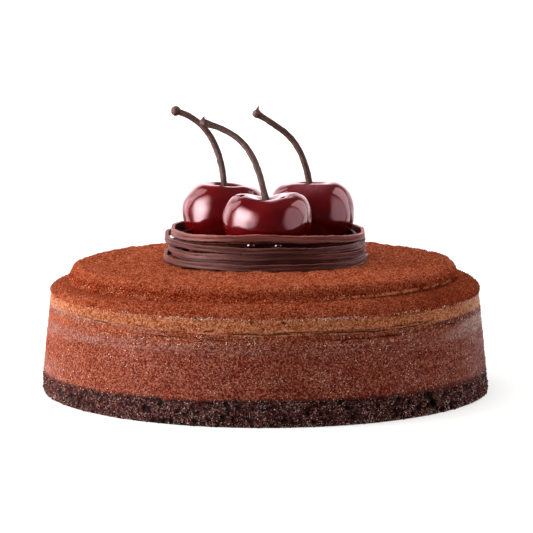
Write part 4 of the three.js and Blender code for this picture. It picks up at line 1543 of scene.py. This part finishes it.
def stem_outline(sizes, total, knob, flare):
    """From the foot to a rounded end, towards which the stem flares to a share of its radius."""
    radius = sizes.stem_radius
    neck = NECK_SHARE * radius
    share, stretch = flare
    body = total - KNOB_REACH * knob
    outline = [(0, 0)]
    for i in range(STEM_RINGS + 1):
        height = i / STEM_RINGS * body
        thick = radius + (neck - radius) * height / body
        thick += STEM_FOOT_FLARE * math.exp(-height / STEM_FOOT_SPAN)
        swell = max(0, 1 - (body - height) / (stretch * MM)) ** 2
        outline.append((thick + max(0, share * knob - neck) * swell, height))
    start = math.asin(min(1, outline[-1][0] / knob))
    middle = body + knob * math.cos(start)
    for i in range(1, KNOB_STEPS + 1):
        turn = (math.pi - start) * (1 - i / KNOB_STEPS)
        outline.append((knob * math.sin(turn), middle + knob * math.cos(turn)))
    outline[-1] = (0, outline[-1][1])
    return outline


def make_stem(cherry, sizes, finish, seed):
    path, total = stem_path(sizes, cherry)
    stem = cherry["stem"]
    outline = stem_outline(sizes, total, stem["knob"] * sizes.knob_radius, stem["flare"])
    piece = turned_piece(f"cherry_stalk_{cherry['side']}", outline, STEM_SIDES)
    points = read_points(piece)
    _, angle = plan_of(points)
    along = points[:, 2] / total
    ridges = 1 + STEM_RIDGE * np.sin(5 * angle + 4 * along + seed)
    ridges += STEM_FINE_RIDGE * np.sin(7 * angle - 6 * along)
    points[:, :2] *= ridges[:, None]
    store(piece, "lie", points)
    write_points(piece, points)
    mark_skin(piece, np.ones(len(points), dtype=bool))
    roughen(piece, *STEM_LUMPS)
    pick(piece)
    bpy.ops.object.modifier_add(type="CURVE")
    bend = piece.modifiers[-1]
    bend.object = path
    bend.deform_axis = "POS_Z"
    bpy.ops.object.modifier_apply(modifier=bend.name)
    end = path.data.splines[0].bezier_points[1].co.copy()
    bpy.data.objects.remove(path)
    if "bract" in stem:
        add_bract(piece, *(end + Vector(offset) * MM for offset in stem["bract"]))
    dress(piece, finish, "stem", f"stem_{cherry['side']}")


def make_stems(sizes, colours):
    finish = stem_finish(colours)
    for seed, cherry in enumerate(CHERRIES):
        make_stem(cherry, sizes, finish, seed)


def scatter(name, places, outward, half_widths, finish, slot, seed, sunk):
    """Many small uneven lumps as one mesh, each on its own place."""
    deselect()
    bpy.ops.mesh.primitive_ico_sphere_add(subdivisions=1, radius=1)
    lump = new_piece(name)
    shape = read_points(lump)
    faces = np.array([face.vertices for face in lump.data.polygons])
    draw = np.random.default_rng(seed)
    count = len(places)
    squash = draw.uniform(*GRAIN_SQUASH, (count, 1, 3))
    jitter = draw.uniform(*GRAIN_JITTER, (count, len(shape), 1))
    corners = shape[None] * squash * jitter * half_widths[:, None, None]
    corners += (places - outward * half_widths[:, None] * sunk)[:, None]
    corners[..., 2] = np.maximum(corners[..., 2], 0)
    joined = faces[None] + (np.arange(count) * len(shape))[:, None, None]
    mesh = bpy.data.meshes.new(name)
    mesh.from_pydata(corners.reshape(-1, 3).tolist(), [], joined.reshape(-1, 3).tolist())
    old = lump.data
    lump.data = mesh
    bpy.data.meshes.remove(old)
    mesh.name = name
    dress(lump, finish, slot)


def strew(name, piece, weights, finish, slot, widths_draw=None):
    """Scatters one kind of grain over a finished piece, by weight, and shaken off its points a little."""
    count, least, most, place_seed, shape_seed, sunk = GRAINS[name]
    draw = np.random.default_rng(place_seed)
    picked = draw.choice(len(weights), count, replace=False, p=weights / weights.sum())
    places = read_points(piece)[picked] + draw.uniform(-GRAIN_SHAKE, GRAIN_SHAKE, (count, 3)) * MM
    half_widths = (widths_draw or draw).uniform(least, most, count) * MM
    scatter(name, places, read_normals(piece)[picked], half_widths, finish, slot, shape_seed, sunk)
    return draw


def make_grains(sizes, colours):
    disc, mousse, filling, crumb = (
        bpy.data.objects[name] for name in ("dusted_disc", "dusted_mousse", "baked_filling", "pressed_crumb")
    )
    # cocoa on the disc and the shoulder
    points = read_points(disc)
    reach = np.hypot(points[:, 0] - DISC_SHIFT, points[:, 1])
    weights = np.where((reach > GRAIN_RING) & (points[:, 2] > sizes.shoulder_top + GRAIN_RISE), reach, 0)
    strew("cocoa_grains", disc, weights, grain_finish("cocoa_grain", colours.cocoa, 0.65), "cocoa")
    points = read_points(mousse)
    radius, angle = plan_of(points)
    rim = sizes.wall_top + MOUSSE_SWELL * np.cos(2 * (angle - FRONT))
    weights = np.where((points[:, 2] > rim + SHOULDER_GRAIN_RISE) & (radius > sizes.disc_radius), 1.0, 0)
    # darker grains where the shoulder has painted shade
    packed_and_shade = grain_finish("packed_and_shade_grain", colours.cocoa, 0.6, share=0.6)
    strew("shoulder_grains", mousse, weights, packed_and_shade, "cocoa")

    # flecks along the shoulder's edge and the disc's foot
    facing = RIM_FLECKS_LEAST + np.clip(np.cos(angle - RIM_FLECKS_AT), 0, 1)
    plenty = facing * (RIM_FLECKS_BETWEEN + patchy(points, RIM_FLECK_PATCH, SEEDS["rim patches"]) ** 2)
    on_edge = radius > sizes.shoulder_radius + SHOULDER_REACH
    weights = np.where(on_edge, hump(points[:, 2] - rim, RIM_FLECK_WIDTH) * plenty, 0)
    draw = strew("pale_flecks", mousse, weights, grain_finish("pale_fleck", colours.fleck, 0.5), "mousse")
    points = read_points(disc)
    reach, angle = plan_of(points)
    lift = points[:, 2] - TOP_TILT * points[:, 0] - sizes.shoulder_top
    plenty = hump(angle - FLECKED_LEFT_AT, FLECKED_LEFT_SPAN) + part_of(angle, FLECKED_RIGHT)
    plenty = (plenty + TAN_FLECKS_LEAST) * np.exp(-(lift / TAN_FLECK_RISE))
    plenty = plenty * patchy(points, TAN_FLECK_PATCH, SEEDS["disc patches"]) ** 2
    weights = np.where((reach > sizes.disc_radius - EDGE_REACH) & (lift > TAN_FLECK_FOOT), plenty, 0)
    strew("tan_flecks", disc, weights, grain_finish("tan_fleck", TAN_FLECK, 0.5), "cocoa", draw)

    # pale grains on the filling, their colour partly painted glints, with a line of them at the front
    points = read_points(filling)
    radius, angle = plan_of(points)
    line = GRAIN_LINE_PLENTY * hump(points[:, 2] - GRAIN_LINE, GRAIN_LINE_WIDTH)
    line = line * patchy(points, GRAIN_LINE_PATCH, SEEDS["line patches"])
    line *= np.clip(np.cos(angle - LINE_AT), 0, 1) ** 2
    plenty = patchy(points, FILLING_GRAIN_PATCH, SEEDS["grain patches"]) ** 2 + line
    plenty = plenty * (0.5 + 0.5 * np.cos(angle - GRAINS_AT)) ** 2 + FILLING_GRAINS_LEAST
    weights = np.where(radius > sizes.cake_radius - sizes.wall_lean - WALL_DEPTH, plenty, 0)
    finish = grain_finish("filling_glint_grain", colours.fleck, 0.6, share=0.9)
    strew("filling_glint_grains", filling, weights, finish, "filling")

    # dark crumbs on the base, and pale ones whose colour is partly painted glints
    points = read_points(crumb)
    radius, angle = plan_of(points)
    side = (radius > sizes.cake_radius - SIDE_DEPTH) & (points[:, 2] < sizes.base_top + 2 * MM)
    hollow = read_values(crumb, "pit") > CRUMB_PIT_LIMIT
    weights = np.where(side & (points[:, 2] > CRUMB_FOOT) & ~hollow, 1.0, 0)
    strew("base_crumbs", crumb, weights, grain_finish("base_crumb", colours.crumb, 0.8, share=2.0), "crumb")
    low = np.exp(-points[:, 2] / PALE_CRUMB_FOOT)
    weights = weights * (patchy(points, PALE_CRUMB_PATCH, SEEDS["crumb patches"]) ** 2 + low)
    weights = weights * (PALE_CRUMBS_MEAN + PALE_CRUMBS_SWING * np.cos(angle - GRAINS_AT))
    strew("pale_glint_crumbs", crumb, weights, grain_finish("pale_glint_crumb", colours.fleck, 0.7, share=0.7), "crumb")


# Stage


def add_softbox(
    name, bearing, rise, distance, width, tall, radiance, mirrored=True, lit=True, feather=0, tint=(1, 1, 1)
):
    """A softbox that faces the cake. Bearing runs from the camera's side, positive to the right.

    With feather above 0 it is oval, and fades over that share of its half width towards its edge.
    """
    bearing, rise = math.radians(bearing), math.radians(rise)
    way = Vector((math.sin(bearing) * math.cos(rise), -math.cos(bearing) * math.cos(rise), math.sin(rise)))
    deselect()
    bpy.ops.object.light_add(type="AREA", location=CAMERA_AIM + way * distance)
    lamp = bpy.context.object
    lamp.name = name
    lamp.rotation_euler = (-way).to_track_quat("-Z", "Y").to_euler()
    lamp.data.shape = "ELLIPSE" if feather else "RECTANGLE"
    lamp.data.size = width
    lamp.data.size_y = tall
    lamp.data.energy = radiance * math.pi * width * tall
    lamp.data.color = tint
    lamp.visible_camera = False
    lamp.visible_glossy = mirrored
    lamp.visible_diffuse = lit
    if feather:
        lamp.data.energy *= math.pi / 4
        lamp.data.use_nodes = True
        nodes, links = lamp.data.node_tree.nodes, lamp.data.node_tree.links
        middle = nodes.new("ShaderNodeVectorMath")
        middle.operation = "DISTANCE"
        middle.inputs[1].default_value = (0.5, 0.5, 0)
        links.new(nodes.new("ShaderNodeNewGeometry").outputs["Parametric"], middle.inputs[0])
        fade = nodes.new("ShaderNodeMapRange")
        fade.interpolation_type = "SMOOTHSTEP"
        fade.inputs["From Min"].default_value = 0.5
        fade.inputs["From Max"].default_value = 0.5 * (1 - feather)
        links.new(middle.outputs["Value"], fade.inputs["Value"])
        links.new(fade.outputs["Result"], nodes["Emission"].inputs["Strength"])


def make_stage(colours):
    deselect()
    bpy.ops.mesh.primitive_plane_add(size=STAGE_SIZE, location=FLOOR_PLACE)
    floor = new_piece("pale_floor")
    floor.data.materials.append(floor_finish(colours, *FLOOR_GLOW))
    floor.visible_glossy = False
    deselect()
    bpy.ops.mesh.primitive_plane_add(size=STAGE_SIZE, location=BACKDROP_PLACE, rotation=(math.pi / 2, 0, 0))
    backdrop = new_piece("pale_backdrop")
    backdrop.data.materials.append(floor_finish(colours, FLOOR_GLOW[1], FLOOR_GLOW[1]))
    backdrop.visible_glossy = False

    for *measures, more in LIGHTS:
        add_softbox(*measures, **more)

    world = bpy.data.worlds.new("studio")
    world.use_nodes = True
    nodes, links = world.node_tree.nodes, world.node_tree.links
    dim = nodes["Background"]
    dim.inputs["Color"].default_value = (1, 1, 1, 1)
    dim.inputs["Strength"].default_value = ROOM_LIGHT
    bright = nodes.new("ShaderNodeBackground")
    bright.inputs["Strength"].default_value = 1.0
    bright.inputs["Color"].default_value = (1, 1, 1, 1)
    seen = nodes.new("ShaderNodeLightPath")
    both = nodes.new("ShaderNodeMixShader")
    links.new(seen.outputs["Is Camera Ray"], both.inputs["Fac"])
    links.new(dim.outputs["Background"], both.inputs[1])
    links.new(bright.outputs["Background"], both.inputs[2])
    links.new(both.outputs["Shader"], nodes["World Output"].inputs["Surface"])
    bpy.context.scene.world = world
    bpy.context.scene.view_settings.view_transform = "Standard"

    way = Vector((0, -math.cos(CAMERA_RISE), math.sin(CAMERA_RISE)))
    deselect()
    bpy.ops.object.camera_add(location=CAMERA_AIM + way * CAMERA_DISTANCE)
    camera = bpy.context.object
    camera.name = "front_camera"
    camera.rotation_euler = (-way).to_track_quat("-Z", "Y").to_euler()
    camera.data.sensor_width = CAMERA_SENSOR
    camera.data.lens = CAMERA_LENS
    camera.data.clip_start = CAMERA_CLIP
    bpy.context.scene.camera = camera


# Add-on


def sizes_and_colours(context):
    return context.scene.cheesecake_sizes, context.scene.cheesecake_colours


class CHEESECAKE_OT_crumb_base(bpy.types.Operator):
    """Model the dark crumb base"""

    bl_idname = "cheesecake.crumb_base"
    bl_label = "Crumb Base"
    bl_options = {"REGISTER", "UNDO"}

    def execute(self, context):
        make_crumb_base(*sizes_and_colours(context))
        return {"FINISHED"}


class CHEESECAKE_OT_filling(bpy.types.Operator):
    """Model the baked chocolate filling"""

    bl_idname = "cheesecake.filling"
    bl_label = "Filling"
    bl_options = {"REGISTER", "UNDO"}

    def execute(self, context):
        make_filling(*sizes_and_colours(context))
        return {"FINISHED"}


class CHEESECAKE_OT_mousse(bpy.types.Operator):
    """Model the pale mousse with its cocoa-dusted shoulder"""

    bl_idname = "cheesecake.mousse"
    bl_label = "Mousse"
    bl_options = {"REGISTER", "UNDO"}

    def execute(self, context):
        make_mousse(*sizes_and_colours(context))
        return {"FINISHED"}


class CHEESECAKE_OT_cocoa_disc(bpy.types.Operator):
    """Model the raised cocoa-dusted disc"""

    bl_idname = "cheesecake.cocoa_disc"
    bl_label = "Cocoa Disc"
    bl_options = {"REGISTER", "UNDO"}

    def execute(self, context):
        make_cocoa_disc(*sizes_and_colours(context))
        return {"FINISHED"}


class CHEESECAKE_OT_nest(bpy.types.Operator):
    """Model the nest of chocolate strands"""

    bl_idname = "cheesecake.nest"
    bl_label = "Chocolate Nest"
    bl_options = {"REGISTER", "UNDO"}

    def execute(self, context):
        make_nest(*sizes_and_colours(context))
        return {"FINISHED"}


class CHEESECAKE_OT_cherries(bpy.types.Operator):
    """Model the three cherries"""

    bl_idname = "cheesecake.cherries"
    bl_label = "Cherries"
    bl_options = {"REGISTER", "UNDO"}

    def execute(self, context):
        make_cherries(*sizes_and_colours(context))
        return {"FINISHED"}


class CHEESECAKE_OT_drops(bpy.types.Operator):
    """Model the drops of juice between the strands"""

    bl_idname = "cheesecake.drops"
    bl_label = "Juice Drops"
    bl_options = {"REGISTER", "UNDO"}

    def execute(self, context):
        make_drops(context.scene.cheesecake_colours)
        return {"FINISHED"}


class CHEESECAKE_OT_stems(bpy.types.Operator):
    """Model the cherries' stems"""

    bl_idname = "cheesecake.stems"
    bl_label = "Stems"
    bl_options = {"REGISTER", "UNDO"}

    def execute(self, context):
        make_stems(*sizes_and_colours(context))
        return {"FINISHED"}


class CHEESECAKE_OT_grains(bpy.types.Operator):
    """Scatter cocoa grains, pale flecks and crumbs over the finished layers"""

    bl_idname = "cheesecake.grains"
    bl_label = "Grains and Crumbs"
    bl_options = {"REGISTER", "UNDO"}

    def execute(self, context):
        make_grains(*sizes_and_colours(context))
        return {"FINISHED"}


class CHEESECAKE_OT_stage(bpy.types.Operator):
    """Set up the floor, the lights and the camera"""

    bl_idname = "cheesecake.stage"
    bl_label = "Stage"
    bl_options = {"REGISTER", "UNDO"}

    def execute(self, context):
        make_stage(context.scene.cheesecake_colours)
        return {"FINISHED"}


OPERATORS = (
    CHEESECAKE_OT_stage,
    CHEESECAKE_OT_crumb_base,
    CHEESECAKE_OT_filling,
    CHEESECAKE_OT_mousse,
    CHEESECAKE_OT_cocoa_disc,
    CHEESECAKE_OT_nest,
    CHEESECAKE_OT_cherries,
    CHEESECAKE_OT_drops,
    CHEESECAKE_OT_stems,
    CHEESECAKE_OT_grains,
)


class CHEESECAKE_PT_panel(bpy.types.Panel):
    """Lists the cake's pieces, sizes and colours"""

    bl_idname = "CHEESECAKE_PT_panel"
    bl_label = "Chocolate Cheesecake"
    bl_space_type = "VIEW_3D"
    bl_region_type = "UI"
    bl_category = "Cheesecake"

    def draw(self, context):
        layout = self.layout
        for operator in OPERATORS:
            layout.operator(operator.bl_idname)
        for group in sizes_and_colours(context):
            box = layout.box()
            for name in group.bl_rna.properties.keys():
                if name not in {"rna_type", "name"}:
                    box.prop(group, name)


CLASSES = (CheesecakeSizes, CheesecakeColours, *OPERATORS, CHEESECAKE_PT_panel)


def register():
    for item in CLASSES:
        bpy.utils.register_class(item)
    bpy.types.Scene.cheesecake_sizes = PointerProperty(type=CheesecakeSizes)
    bpy.types.Scene.cheesecake_colours = PointerProperty(type=CheesecakeColours)


def unregister():
    del bpy.types.Scene.cheesecake_colours
    del bpy.types.Scene.cheesecake_sizes
    for item in reversed(CLASSES):
        bpy.utils.unregister_class(item)


def main():
    register()
    bpy.ops.cheesecake.stage()
    bpy.ops.cheesecake.crumb_base()
    bpy.ops.cheesecake.filling()
    bpy.ops.cheesecake.mousse()
    bpy.ops.cheesecake.cocoa_disc()
    bpy.ops.cheesecake.nest()
    bpy.ops.cheesecake.cherries()
    bpy.ops.cheesecake.drops()
    bpy.ops.cheesecake.stems()
    bpy.ops.cheesecake.grains()


if __name__ == "__main__":
    main()
